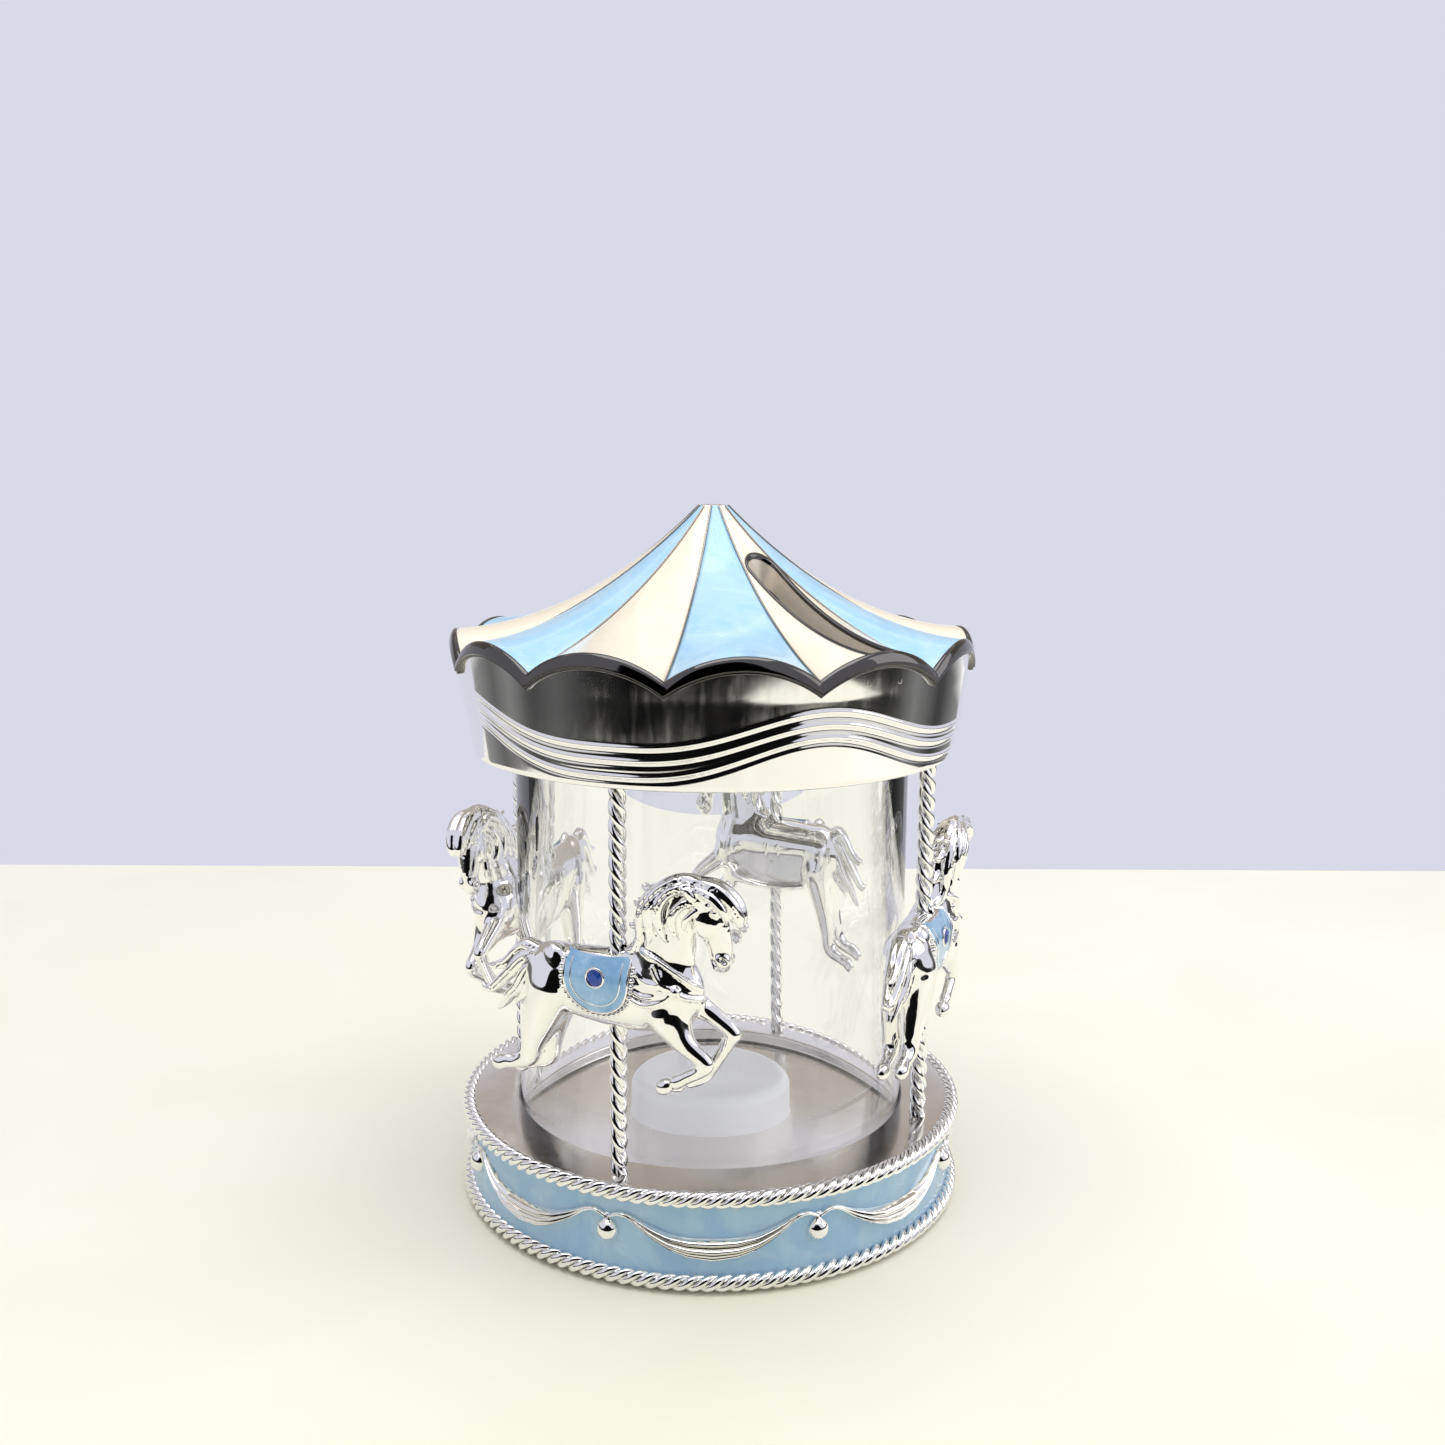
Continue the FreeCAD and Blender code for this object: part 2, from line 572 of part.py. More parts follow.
def roof_pieces():
    """The cast roof shell and its enamel panels, with the slot lobe on +X before the roof is turned."""
    step = 360.0 / LOBES
    low = PLATE_BOTTOM.value
    high = PLATE_BOTTOM.value + mm("roof_apex_rise") + 10
    inside = upright(RIM_INNER.value, low, high)
    thick = mm("shell_thickness")
    plain_lobe = lobe(0.0, 0.0, thick).common(inside)
    pocket = lobe(mm("seam_half_width"), 1.0, mm("panel_thickness"))
    shell_lobe = plain_lobe.cut(pocket).fuse(rim_segment())
    panel = lobe(mm("seam_half_width"), 0.0, mm("panel_thickness")).common(inside)

    cap_seat = low + mm("roof_apex_rise") - mm("cap_seat_drop")
    cap_hole = upright(mm("cap_stem_radius") + mm("cap_clearance"), low, high)
    cap_hole = cap_hole.fuse(upright(mm("cap_radius") + mm("cap_clearance"), cap_seat, high))
    slot = slot_tool(0.0, low, high)

    shell = shell_lobe.fuse(turned_copies(shell_lobe, LOBES)[1:])
    band_bore = upright(mm("band_upper_radius") - mm("band_wall") - mm("plate_clearance"), low, high)
    liner_wall = slot_tool(mm("slot_liner_wall"), low, high).common(band_bore)
    under = lobe(0.0, -mm("panel_thickness") * 2, thick + mm("slot_liner_depth"))
    liner = [piece.common(liner_wall) for piece in turned_copies(under, LOBES)[-1:]]
    liner += [piece.common(liner_wall) for piece in turned_copies(under, LOBES)[:2]]
    boss_top = low + mm("roof_eave_rise") + mm("shell_thickness") / 2
    boss = upright(mm("boss_radius"), PLATE_TOP.value, boss_top, polar(POLE_RING.value, -step / 2))
    shell = shell.fuse(liner + turned_copies(boss, SCREWS))
    bore_top = PLATE_TOP.value + mm("screw_bite")
    bore = upright(SCREW_HOLE.value, low, bore_top, polar(POLE_RING.value, -step / 2))
    shell = shell.cut([slot, cap_hole] + turned_copies(bore, SCREWS)).removeSplitter()

    panels = turned_copies(panel, LOBES)
    cream = [panels[i].cut([slot, cap_hole] if i == 0 else [cap_hole]) for i in range(0, LOBES, 2)]
    blue = [panels[i].cut(cap_hole) for i in range(1, LOBES, 2)]
    return shell, cream, blue


def make_roof():
    shell, cream, blue = roof_pieces()
    turn = FreeCAD.Placement(FreeCAD.Vector(0, 0, 0), FreeCAD.Rotation(FreeCAD.Vector(0, 0, 1), mm("slot_azimuth")))
    for name, shape in (("roof_shell", shell), ("roof_panels_cream", Part.makeCompound(cream)),
                        ("roof_panels_blue", Part.makeCompound(blue))):
        item = feature(name, shape)
        item.Placement = turn
        finished(item, name)


def make_finial_cap():
    seat = PLATE_BOTTOM + size("roof_apex_rise") - size("cap_seat_drop")
    top = seat + size("cap_thickness")
    edge = size("cap_thickness") * 0.4
    body = turned_body("finial_cap", (
        (ZERO, seat - size("cap_stem_length")), (size("cap_stem_radius"), seat - size("cap_stem_length")),
        (size("cap_stem_radius"), seat), (size("cap_radius"), seat), (size("cap_radius"), top - edge),
        (size("cap_radius") - edge, top), (ZERO, top),
    ))
    return finished(body, "finial_cap")


def make_apron_band():
    """The fascia band: a tapered ring with a rolled lower edge, its top fitted under the roof."""
    wall = mm("band_wall")
    low, taper_top = BAND_BOTTOM.value, TAPER_TOP.value
    top = taper_top + mm("lobe_height") + mm("rim_depth")
    lower, upper = mm("band_lower_radius"), mm("band_upper_radius")
    corners = ((lower - wall, low), (lower, low), (upper, taper_top), (upper, top),
               (upper - wall, top), (upper - wall, taper_top), (lower - wall, low))
    profile = Part.Face(Part.makePolygon([FreeCAD.Vector(r, 0, z) for r, z in corners]))
    band = profile.revolve(FreeCAD.Vector(0, 0, 0), FreeCAD.Vector(0, 0, 1), 360)
    lip = Part.makeTorus(lower - mm("band_lip_radius") / 2, mm("band_lip_radius"),
                         FreeCAD.Vector(0, 0, low + mm("band_lip_radius")))
    band = band.fuse(lip).removeSplitter()
    above = turned_copies(lobe(0.0, 3 * mm("rim_depth") + mm("lobe_height"), mm("shell_thickness")),
                          LOBES, mm("slot_azimuth"))
    band = band.cut(above)
    return finished(feature("apron_band", band), "apron_band")


# ---------------------------------------------------------------- horses

# Places on a horse, in millimetres: forward of the pole, and above the ride height.
# The torso and the neck are lofts of ellipses: (forward, up, lean in degrees, half height, half width).
TORSO = (
    (-17.6, 1.4, 0, 1.2, 1.0), (-16.2, 1.3, 0, 3.6, 2.5), (-11.5, 1.0, 0, 5.4, 3.6), (-4.5, 0.3, 0, 5.9, 3.7),
    (2.5, -0.2, 0, 6.3, 3.8), (9.0, 0.2, 0, 6.0, 3.7), (13.0, 0.8, 0, 4.2, 2.8), (14.6, 1.0, 0, 1.4, 1.1),
)
NECK = (
    (7.6, 1.5, 70, 5.4, 3.0), (8.6, 7.0, 74, 5.2, 2.9), (10.6, 12.5, 60, 4.6, 2.7), (14.2, 16.6, 20, 4.2, 2.6),
    (17.6, 15.6, -45, 4.6, 2.5), (18.6, 11.5, -75, 3.6, 2.2), (19.0, 7.6, -80, 2.3, 1.7), (19.0, 5.6, -80, 1.2, 1.0),
)
# Each limb is a chain of (outward, forward, up, radius).
LIMBS = (
    ((1.7, 9.0, -2.5, 2.8), (1.9, 16.5, -9.8, 1.6), (1.9, 13.0, -13.6, 1.2), (1.9, 10.0, -15.4, 1.5)),
    ((-1.6, 11.0, -1.5, 2.6), (-1.8, 20.2, -5.4, 1.5), (-1.8, 17.8, -10.8, 1.2), (-1.8, 16.2, -13.6, 1.5)),
    ((1.7, -12.0, -1.5, 3.4), (1.9, -13.2, -8.0, 1.9), (1.9, -16.0, -11.5, 1.2), (1.9, -20.6, -14.0, 1.5)),
    ((-1.6, -12.0, -1.5, 3.4), (-1.9, -9.8, -8.0, 1.9), (-1.9, -12.2, -12.0, 1.2), (-1.9, -12.2, -14.6, 1.5)),
    ((0.0, -15.6, 4.4, 1.3), (0.0, -19.2, 5.8, 1.4), (-0.6, -22.6, 2.4, 1.6), (-1.4, -24.6, -2.4, 1.3),
     (-1.8, -24.4, -6.2, 0.7)),
    ((0.0, -10.8, 5.2, 1.9), (0.0, -7.4, 5.6, 1.4)),
)


def ellipse_loft(stations, grow=0.0):
    """A smooth body through ellipses that stand across its line."""
    wires = []
    for forward, up, lean, half_height, half_width in stations:
        angle = math.radians(lean)
        centre = FreeCAD.Vector(0, forward, up)
        tall = FreeCAD.Vector(0, -math.sin(angle), math.cos(angle))
        across = FreeCAD.Vector(1, 0, 0)
        ellipse = Part.Ellipse(centre + tall * (half_height + grow), centre + across * (half_width + grow), centre)
        wires.append(Part.Wire(ellipse.toShape()))
    return Part.makeLoft(wires, True, False)


def limb(chain):
    """A limb: a ball at each place and a taper between neighbours."""
    balls = [Part.makeSphere(radius, FreeCAD.Vector(x, y, z)) for x, y, z, radius in chain]
    tapers = []
    for (x0, y0, z0, r0), (x1, y1, z1, r1) in zip(chain, chain[1:]):
        start = FreeCAD.Vector(x0, y0, z0)
        run = FreeCAD.Vector(x1, y1, z1) - start
        if abs(r0 - r1) < 0.01:
            tapers.append(Part.makeCylinder(r0, run.Length, start, run))
        else:
            tapers.append(Part.makeCone(r0, r1, run.Length, start, run))
    return balls[0].fuse(balls[1:] + tapers)


def horse_shape():
    """A horse about its pole's centre line at the ride height, facing +Y, outward side +X."""
    horse = ellipse_loft(TORSO).fuse([ellipse_loft(NECK)] + [limb(chain) for chain in LIMBS])
    bore = mm("pole_radius") + mm("horse_bore_clearance")
    return horse.cut([upright(bore, -20, 20), pin_shape()]).removeSplitter()


def pin_shape():
    """The pin that locks a horse to its pole, on the inward side."""
    start = FreeCAD.Vector(-mm("pin_reach"), 0, 0)
    return Part.makeCylinder(mm("pin_radius"), mm("pin_reach") - mm("pole_radius"), start, FreeCAD.Vector(1, 0, 0))


def gem_shape():
    """A round cut gem: a cylindrical seat below a bevelled crown."""
    girdle = mm("gem_depth") * 0.6
    centre = FreeCAD.Vector(mm("gem_seat"), mm("saddle_offset"), mm("gem_rise"))
    seat = Part.makeCylinder(mm("gem_radius"), girdle, centre, FreeCAD.Vector(1, 0, 0))
    crown_start = centre + FreeCAD.Vector(girdle, 0, 0)
    crown = Part.makeCone(mm("gem_radius"), mm("gem_radius") * 0.6, mm("gem_depth") - girdle, crown_start,
                          FreeCAD.Vector(1, 0, 0))
    return seat.fuse(crown).removeSplitter()


def saddle_shape(horse):
    """The enamelled saddle cloth: a U-shaped skin over the outward flank."""
    half = mm("saddle_width") / 2
    middle = mm("saddle_offset")
    top, foot = mm("saddle_top_rise"), -mm("saddle_drop")
    bend = foot + half * 0.8
    corners = [FreeCAD.Vector(0.8, middle + y, z) for y, z in ((-half, bend), (-half, top), (half, top), (half, bend))]
    outline = Part.Wire(Part.makePolygon(corners).Edges + [
        Part.Arc(corners[3], FreeCAD.Vector(0.8, middle, foot), corners[0]).toShape(),
    ])
    prism = Part.Face(outline).extrude(FreeCAD.Vector(8, 0, 0))
    bore = upright(mm("pole_radius") + mm("horse_bore_clearance"), -20, 20)
    return ellipse_loft(TORSO, mm("saddle_thickness")).common(prism).cut([horse, gem_shape(), bore])


def place_on_pole(name, shape, azimuth):
    item = feature(name, shape)
    turn = FreeCAD.Rotation(FreeCAD.Vector(0, 0, 1), azimuth)
    item.Placement = FreeCAD.Placement(polar(POLE_RING.value, azimuth, RIDE_HEIGHT.value), turn)
    return finished(item, name)


def make_horses():
    gem = gem_shape()
    horse = horse_shape().cut(gem)
    saddle = saddle_shape(horse)
    pins = []
    for place, azimuth in POLE_PLACES:
        make_pole("pole_" + place, azimuth)
        place_on_pole("horse_" + place, horse, azimuth)
        place_on_pole("saddle_" + place, saddle, azimuth)
        place_on_pole("gem_" + place, gem, azimuth)
        pin = pin_shape()
        pin.rotate(FreeCAD.Vector(0, 0, 0), FreeCAD.Vector(0, 0, 1), azimuth)
        pin.translate(polar(POLE_RING.value, azimuth, RIDE_HEIGHT.value))
        pins.append(pin)
    finished(feature("horse_pins", Part.makeCompound(pins)), "horse_pins")


POLE_PLACES = (("front", 270), ("right", 0), ("back", 90), ("left", 180))


# ---------------------------------------------------------------- assembly

def build():
    make_base_casting()
    trims = [
        make_rope_ring("rope_ring_lower", size("rope_lower_height")),
        make_rope_ring("rope_ring_upper", DECK_TOP - size("rope_upper_drop")),
        make_swags(),
        make_drum_beads(),
    ]
    make_drum_enamel(trims)
    make_base_cover()
    make_base_pad()
    make_screws("cover_screws", COVER_SCREW_RING.value, DRUM_BOTTOM.value,
                mm("cover_thickness") - mm("screw_head_height"), 45)
    make_stopper()
    make_coin_tube()
    make_canopy_plate()
    make_nuts("pole_foot_nuts", mm("deck_height") - mm("deck_thickness") - mm("nut_height"))
    make_nuts("pole_top_nuts", PLATE_TOP.value)
    make_screws("roof_screws", POLE_RING.value, PLATE_BOTTOM.value - mm("screw_head_height"),
                mm("plate_thickness"), screw_azimuth())
    make_roof()
    make_finial_cap()
    make_apron_band()
    make_horses()


def check():
    """Stops if any object failed or any sub-part is empty or broken."""
    for item in doc.Objects:
        if "Invalid" in item.State or "Error" in item.State:
            raise RuntimeError("%s did not rebuild: %s" % (item.Label, item.State))
    for item in sub_parts:
        if item.Shape.isNull() or not item.Shape.isValid() or item.Shape.Volume <= 0:
            raise RuntimeError("%s has no valid solid" % item.Label)


def write_parts():
    os.makedirs("parts", exist_ok=True)
    for item in sub_parts:
        item.Shape.exportStep(os.path.join("parts", item.Label + ".step"))
        print("%-20s %2d solids %10.1f mm3" % (item.Label, len(item.Shape.Solids), item.Shape.Volume))


build()
doc.recompute()
check()
write_parts()
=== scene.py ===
"""Carousel coin bank: the shown surfaces, finishes, light and camera, built round the fixed frame."""

import logging
import math
from dataclasses import dataclass, field
from enum import Enum

import bmesh
import bpy
import numpy as np
from mathutils import Matrix, Vector


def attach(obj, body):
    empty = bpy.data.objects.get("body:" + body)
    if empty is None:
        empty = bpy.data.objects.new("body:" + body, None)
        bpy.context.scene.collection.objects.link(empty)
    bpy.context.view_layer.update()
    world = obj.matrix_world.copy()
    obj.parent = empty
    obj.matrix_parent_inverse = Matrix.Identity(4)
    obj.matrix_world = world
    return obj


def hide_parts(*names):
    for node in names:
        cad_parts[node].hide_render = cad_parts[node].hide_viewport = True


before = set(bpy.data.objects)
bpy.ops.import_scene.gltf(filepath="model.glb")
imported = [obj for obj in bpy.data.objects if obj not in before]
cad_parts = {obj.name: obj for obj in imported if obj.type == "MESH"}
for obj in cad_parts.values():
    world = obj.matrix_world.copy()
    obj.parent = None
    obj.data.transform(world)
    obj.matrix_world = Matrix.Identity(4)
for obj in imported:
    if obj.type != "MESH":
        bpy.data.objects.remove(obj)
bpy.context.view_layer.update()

logging.basicConfig(level=logging.INFO, format="%(message)s")
log = logging.getLogger("coin_bank")

MM = 0.001
TURN = 2.0 * math.pi
BANK = "bank"
STOPPER = "stopper"


# ---------------------------------------------------------------- mesh helpers


def linked(name: str, data: bpy.types.ID) -> bpy.types.Object:
    """A new object in the scene that shows the given data.

    Args:
        name: The object's name.
        data: Its mesh, camera or light.

    Returns:
        The object.
    """
    piece = bpy.data.objects.new(name, data)
    bpy.context.scene.collection.objects.link(piece)
    return piece


def mesh_object(name: str, points: np.ndarray, faces: np.ndarray | list[list[int]],
                sharp_degrees: float = 40.0) -> bpy.types.Object:
    """Makes a smooth-shaded mesh object from points in millimetres.

    Args:
        name: The object's name.
        points: An n by 3 array of places in millimetres.
        faces: An array of triangles or quads, or a list of faces with any number of corners.
        sharp_degrees: Edges that turn by more than this stay sharp.

    Returns:
        The new object, linked to the scene and standing at the origin.
    """
    mesh = bpy.data.meshes.new(name)
    rows = faces.tolist() if isinstance(faces, np.ndarray) else faces
    mesh.from_pydata((points * MM).tolist(), [], rows)
    mesh.validate()
    mesh.shade_smooth()
    mesh.set_sharp_from_angle(angle=math.radians(sharp_degrees))
    return linked(name, mesh)


def grid_faces(rows: int, columns: int, wrap_rows: bool = False, wrap_columns: bool = False) -> np.ndarray:
    """Quads over a grid of points stored row by row.

    Args:
        rows: Number of rows.
        columns: Number of points in a row.
        wrap_rows: Join the last row to the first.
        wrap_columns: Join the end of each row to its start.

    Returns:
        An m by 4 array of point numbers.
    """
    row = np.arange(rows if wrap_rows else rows - 1)
    column = np.arange(columns if wrap_columns else columns - 1)
    r, c = np.meshgrid(row, column, indexing="ij")
    r2, c2 = (r + 1) % rows, (c + 1) % columns
    corners = (r * columns + c, r * columns + c2, r2 * columns + c2, r2 * columns + c)
    return np.stack([corner.ravel() for corner in corners], axis=1)


def lathe(name: str, profile: list[tuple[float, float]], segments: int = 256, closed: bool = True,
          centre: tuple[float, float] = (0.0, 0.0)) -> bpy.types.Object:
    """Spins a profile of (radius, height) places about an upright axis.

    Args:
        name: The object's name.
        profile: Places in millimetres, running so that the material lies on their left.
        segments: Number of steps round the axis.
        closed: Join the profile's end to its start.
        centre: Where the axis stands.

    Returns:
        The new object.
    """
    places = np.array(profile, dtype=float)
    angles = np.arange(segments) * TURN / segments
    radius, height = places[:, 0][None, :], places[:, 1][None, :]
    x = centre[0] + radius * np.cos(angles)[:, None]
    y = centre[1] + radius * np.sin(angles)[:, None]
    points = np.stack([x, y, np.broadcast_to(height, x.shape)], axis=2).reshape(-1, 3)
    faces = grid_faces(segments, len(profile), True, closed)
    piece = mesh_object(name, points, faces)
    return tidy_normals(piece)


def tidy_normals(piece: bpy.types.Object, distance: float = 1e-7) -> bpy.types.Object:
    """Merges doubled points and turns every face outwards.

    Args:
        piece: The object whose mesh is tidied.
        distance: Points nearer than this, in metres, are merged.

    Returns:
        The same object.
    """
    work = bmesh.new()
    work.from_mesh(piece.data)
    bmesh.ops.remove_doubles(work, verts=work.verts, dist=distance)
    bmesh.ops.dissolve_degenerate(work, edges=work.edges, dist=distance)
    bmesh.ops.recalc_face_normals(work, faces=work.faces)
    work.to_mesh(piece.data)
    work.free()
    return piece


def rounded(profile: list[tuple[float, float]], radii: dict[int, float], steps: int = 5) -> list[tuple[float, float]]:
    """Rounds chosen corners of a closed profile.

    Args:
        profile: Corner places.
        radii: The rounding's size at each corner that is rounded.
        steps: Points along each rounding.

    Returns:
        The profile with its corners rounded.
    """
    result = []
    count = len(profile)
    for i, corner in enumerate(profile):
        if i not in radii:
            result.append(corner)
            continue
        here = Vector(corner)
        before = (Vector(profile[i - 1]) - here).normalized() * radii[i]
        after = (Vector(profile[(i + 1) % count]) - here).normalized() * radii[i]
        for k in range(steps + 1):
            t = k / steps
            place = here + before * (1 - t) ** 2 + after * t ** 2
            result.append((place.x, place.y))
    return result


def turned(points: np.ndarray, degrees: float) -> np.ndarray:
    """Places turned about the upright axis.

    Args:
        points: Places in millimetres.
        degrees: How far they turn.

    Returns:
        The turned places.
    """
    angle = math.radians(degrees)
    c, s = math.cos(angle), math.sin(angle)
    return points @ np.array([[c, s, 0.0], [-s, c, 0.0], [0.0, 0.0, 1.0]])


def smoothstep(low: float, high: float, value: np.ndarray) -> np.ndarray:
    """A smooth rise from 0 at low to 1 at high."""
    t = np.clip((value - low) / (high - low), 0.0, 1.0)
    return t * t * (3.0 - 2.0 * t)


def join_arrays(parts: list[tuple[np.ndarray, np.ndarray]]) -> tuple[np.ndarray, np.ndarray]:
    """Joins several (points, faces) pairs into one.

    Args:
        parts: The pairs.

    Returns:
        Points and faces of the whole.
    """
    points, faces, offset = [], [], 0
    for some_points, some_faces in parts:
        points.append(some_points)
        faces.append(some_faces + offset)
        offset += len(some_points)
    return np.concatenate(points), np.concatenate(faces)


def plate_between(top: np.ndarray, bottom: np.ndarray) -> tuple[np.ndarray, np.ndarray]:
    """A closed plate between two grids of the same size.

    Args:
        top: A rows by columns by 3 array.
        bottom: Another of the same size.

    Returns:
        Points and faces of the closed plate.
    """
    rows, columns = top.shape[:2]
    points = np.concatenate([top.reshape(-1, 3), bottom.reshape(-1, 3)])
    upper = grid_faces(rows, columns)
    shift = rows * columns
    lower = upper[:, ::-1] + shift
    index = np.arange(rows * columns).reshape(rows, columns)
    ring = np.concatenate([index[0, :-1], index[:-1, -1], index[-1, :0:-1], index[:0:-1, 0]])
    nxt = np.roll(ring, -1)
    walls = np.stack([ring, ring + shift, nxt + shift, nxt], axis=1)
    return points, np.concatenate([upper, lower, walls])


# ---------------------------------------------------------------- geometry trees


class NodeHelpers:
    """Helpers that add nodes to a node tree."""

    def __init__(self, tree: bpy.types.NodeTree) -> None:
        """Keeps the tree that the nodes are added to."""
        self.tree = tree

    def node(self, kind: str, feeds: dict[str | int, object] | None = None, **settings: object) -> bpy.types.Node:
        """Adds a node.

        Args:
            kind: The node's type.
            feeds: Its inputs by name or number, each a socket to link or a value to set.
            settings: Properties of the node.

        Returns:
            The new node.
        """
        node = self.tree.nodes.new(kind)
        for key, value in settings.items():
            setattr(node, key, value)
        for key, value in (feeds or {}).items():
            if isinstance(value, bpy.types.NodeSocket):
                self.tree.links.new(value, node.inputs[key])
            else:
                node.inputs[key].default_value = value
        return node

    def math(self, operation: str, first: object, second: object = 0.0) -> bpy.types.NodeSocket:
        """A math node's output."""
        return self.node("ShaderNodeMath", {0: first, 1: second}, operation=operation).outputs[0]


class GeometryTree(NodeHelpers):
    """A geometry node tree with named inputs that ends in Realize Instances and Set Material."""

    def __init__(self, name: str, sizes: dict[str, float | int], takes_object: str = "") -> None:
        """Starts a tree.

        Args:
            name: The tree's name.
            sizes: Named inputs and their usual values.
            takes_object: Name of an object input, if the tree has one.
        """
        super().__init__(bpy.data.node_groups.new(name, "GeometryNodeTree"))
        face = self.tree.interface
        face.new_socket("Geometry", in_out="OUTPUT", socket_type="NodeSocketGeometry")
        for label, value in sizes.items():
            kind = "NodeSocketInt" if isinstance(value, int) else "NodeSocketFloat"
            face.new_socket(label, in_out="INPUT", socket_type=kind).default_value = value
        if takes_object:
            face.new_socket(takes_object, in_out="INPUT", socket_type="NodeSocketObject")
        face.new_socket("Finish", in_out="INPUT", socket_type="NodeSocketMaterial")
        self.given = self.tree.nodes.new("NodeGroupInput").outputs

    def swept(self, path: bpy.types.NodeSocket, radius: str, caps: bool = True) -> bpy.types.NodeSocket:
        """A round strand along a path, with the tree's Sides.

        Args:
            path: The path.
            radius: The name of the radius input.
            caps: Whether its ends are closed.

        Returns:
            The strand's mesh.
        """
        outline = self.node("GeometryNodeCurvePrimitiveCircle",
                            {"Resolution": self.given["Sides"], "Radius": self.given[radius]})
        return self.node("GeometryNodeCurveToMesh", {
            "Curve": path, "Profile Curve": outline.outputs[0], "Fill Caps": caps}).outputs[0]

    def line_path(self) -> bpy.types.NodeSocket:
        """The edges of the tree's Line object as a curve."""
        line = self.node("GeometryNodeObjectInfo", {"Object": self.given["Line"]})
        return self.node("GeometryNodeMeshToCurve", {"Mesh": line.outputs["Geometry"]}).outputs[0]

    def finish_round(self, motif: bpy.types.NodeSocket) -> None:
        """Ends the tree with Count copies of a motif round the upright axis, from Start Angle.

        Args:
            motif: The geometry that is copied.
        """
        points = self.node("GeometryNodeMeshLine", {"Count": self.given["Count"], "Offset": (0.0, 0.0, 0.0)})
        step = self.math("DIVIDE", TURN, self.given["Count"])
        steps = self.math("MULTIPLY", self.node("GeometryNodeInputIndex").outputs[0], step)
        turn = self.node("ShaderNodeCombineXYZ", {2: self.math("ADD", steps, self.given["Start Angle"])})
        copies = self.node("GeometryNodeInstanceOnPoints", {
            "Points": points.outputs[0], "Instance": motif, "Rotation": turn.outputs[0]})
        self.finish(copies.outputs[0])

    def finish(self, geometry: bpy.types.NodeSocket) -> None:
        """Ends the tree with smooth shading, Realize Instances and Set Material.

        Args:
            geometry: The geometry that the tree gives.
        """
        smooth = self.node("GeometryNodeSetShadeSmooth", {"Geometry": geometry})
        real = self.node("GeometryNodeRealizeInstances", {"Geometry": smooth.outputs[0]})
        dressed = self.node("GeometryNodeSetMaterial", {"Geometry": real.outputs[0], "Material": self.given["Finish"]})
        self.node("NodeGroupOutput", {"Geometry": dressed.outputs[0]})

    def bake(self, name: str, values: dict[str, object], finish: bpy.types.Material,
             sharp_degrees: float = 50.0) -> bpy.types.Object:
        """Runs the tree and keeps its result as a plain mesh object.

        Args:
            name: The new object's name.
            values: Inputs that differ from the tree's usual values.
            finish: The material.
            sharp_degrees: Edges that turn by more than this stay sharp.

        Returns:
            The plain mesh object.
        """
        holder = linked(name + "_tree", bpy.data.meshes.new(name + "_tree"))
        modifier = holder.modifiers.new("tree", "NODES")
        modifier.node_group = self.tree
        given = {**values, "Finish": finish}
        for item in self.tree.interface.items_tree:
            if item.in_out == "INPUT" and item.name in given:
                modifier[item.identifier] = given[item.name]
        evaluated = holder.evaluated_get(bpy.context.evaluated_depsgraph_get())
        mesh = bpy.data.meshes.new_from_object(evaluated)
        mesh.name = name
        mesh.set_sharp_from_angle(angle=math.radians(sharp_degrees))
        bpy.data.objects.remove(holder)
        return tidy_normals(linked(name, mesh))


def twisted_ring_tree() -> GeometryTree:
    """Strands twisted round each other along a ring.

    Returns:
        The tree.
    """
    tree = GeometryTree("twisted_ring", {
        "Ring Radius": 0.046, "Height": 0.0, "Lay Radius": 0.0008, "Strand Radius": 0.0007,
        "Turns": 41, "Strands": 3, "Steps": 1200, "Sides": 8,
    })
    given = tree.given
    ring = tree.node("GeometryNodeCurvePrimitiveCircle", {"Resolution": given["Steps"], "Radius": 1.0})
    copies = tree.node("GeometryNodeDuplicateElements", {"Geometry": ring.outputs[0], "Amount": given["Strands"]},
                       domain="SPLINE")
    along = tree.node("GeometryNodeSplineParameter").outputs["Factor"]
    angle = tree.math("MULTIPLY", along, TURN)
    phase = tree.math("DIVIDE", tree.math("MULTIPLY", copies.outputs["Duplicate Index"], TURN), given["Strands"])
    lay = tree.math("ADD", tree.math("MULTIPLY", angle, given["Turns"]), phase)
    reach = tree.math("ADD", given["Ring Radius"],
                      tree.math("MULTIPLY", tree.math("COSINE", lay), given["Lay Radius"]))
    rise = tree.math("ADD", given["Height"], tree.math("MULTIPLY", tree.math("SINE", lay), given["Lay Radius"]))
    place = tree.node("ShaderNodeCombineXYZ", {
        0: tree.math("MULTIPLY", reach, tree.math("COSINE", angle)),
        1: tree.math("MULTIPLY", reach, tree.math("SINE", angle)),
        2: rise,
    })
    path = tree.node("GeometryNodeSetPosition", {"Geometry": copies.outputs["Geometry"], "Position": place.outputs[0]})
    tree.finish(tree.swept(path.outputs[0], "Strand Radius", False))
    return tree


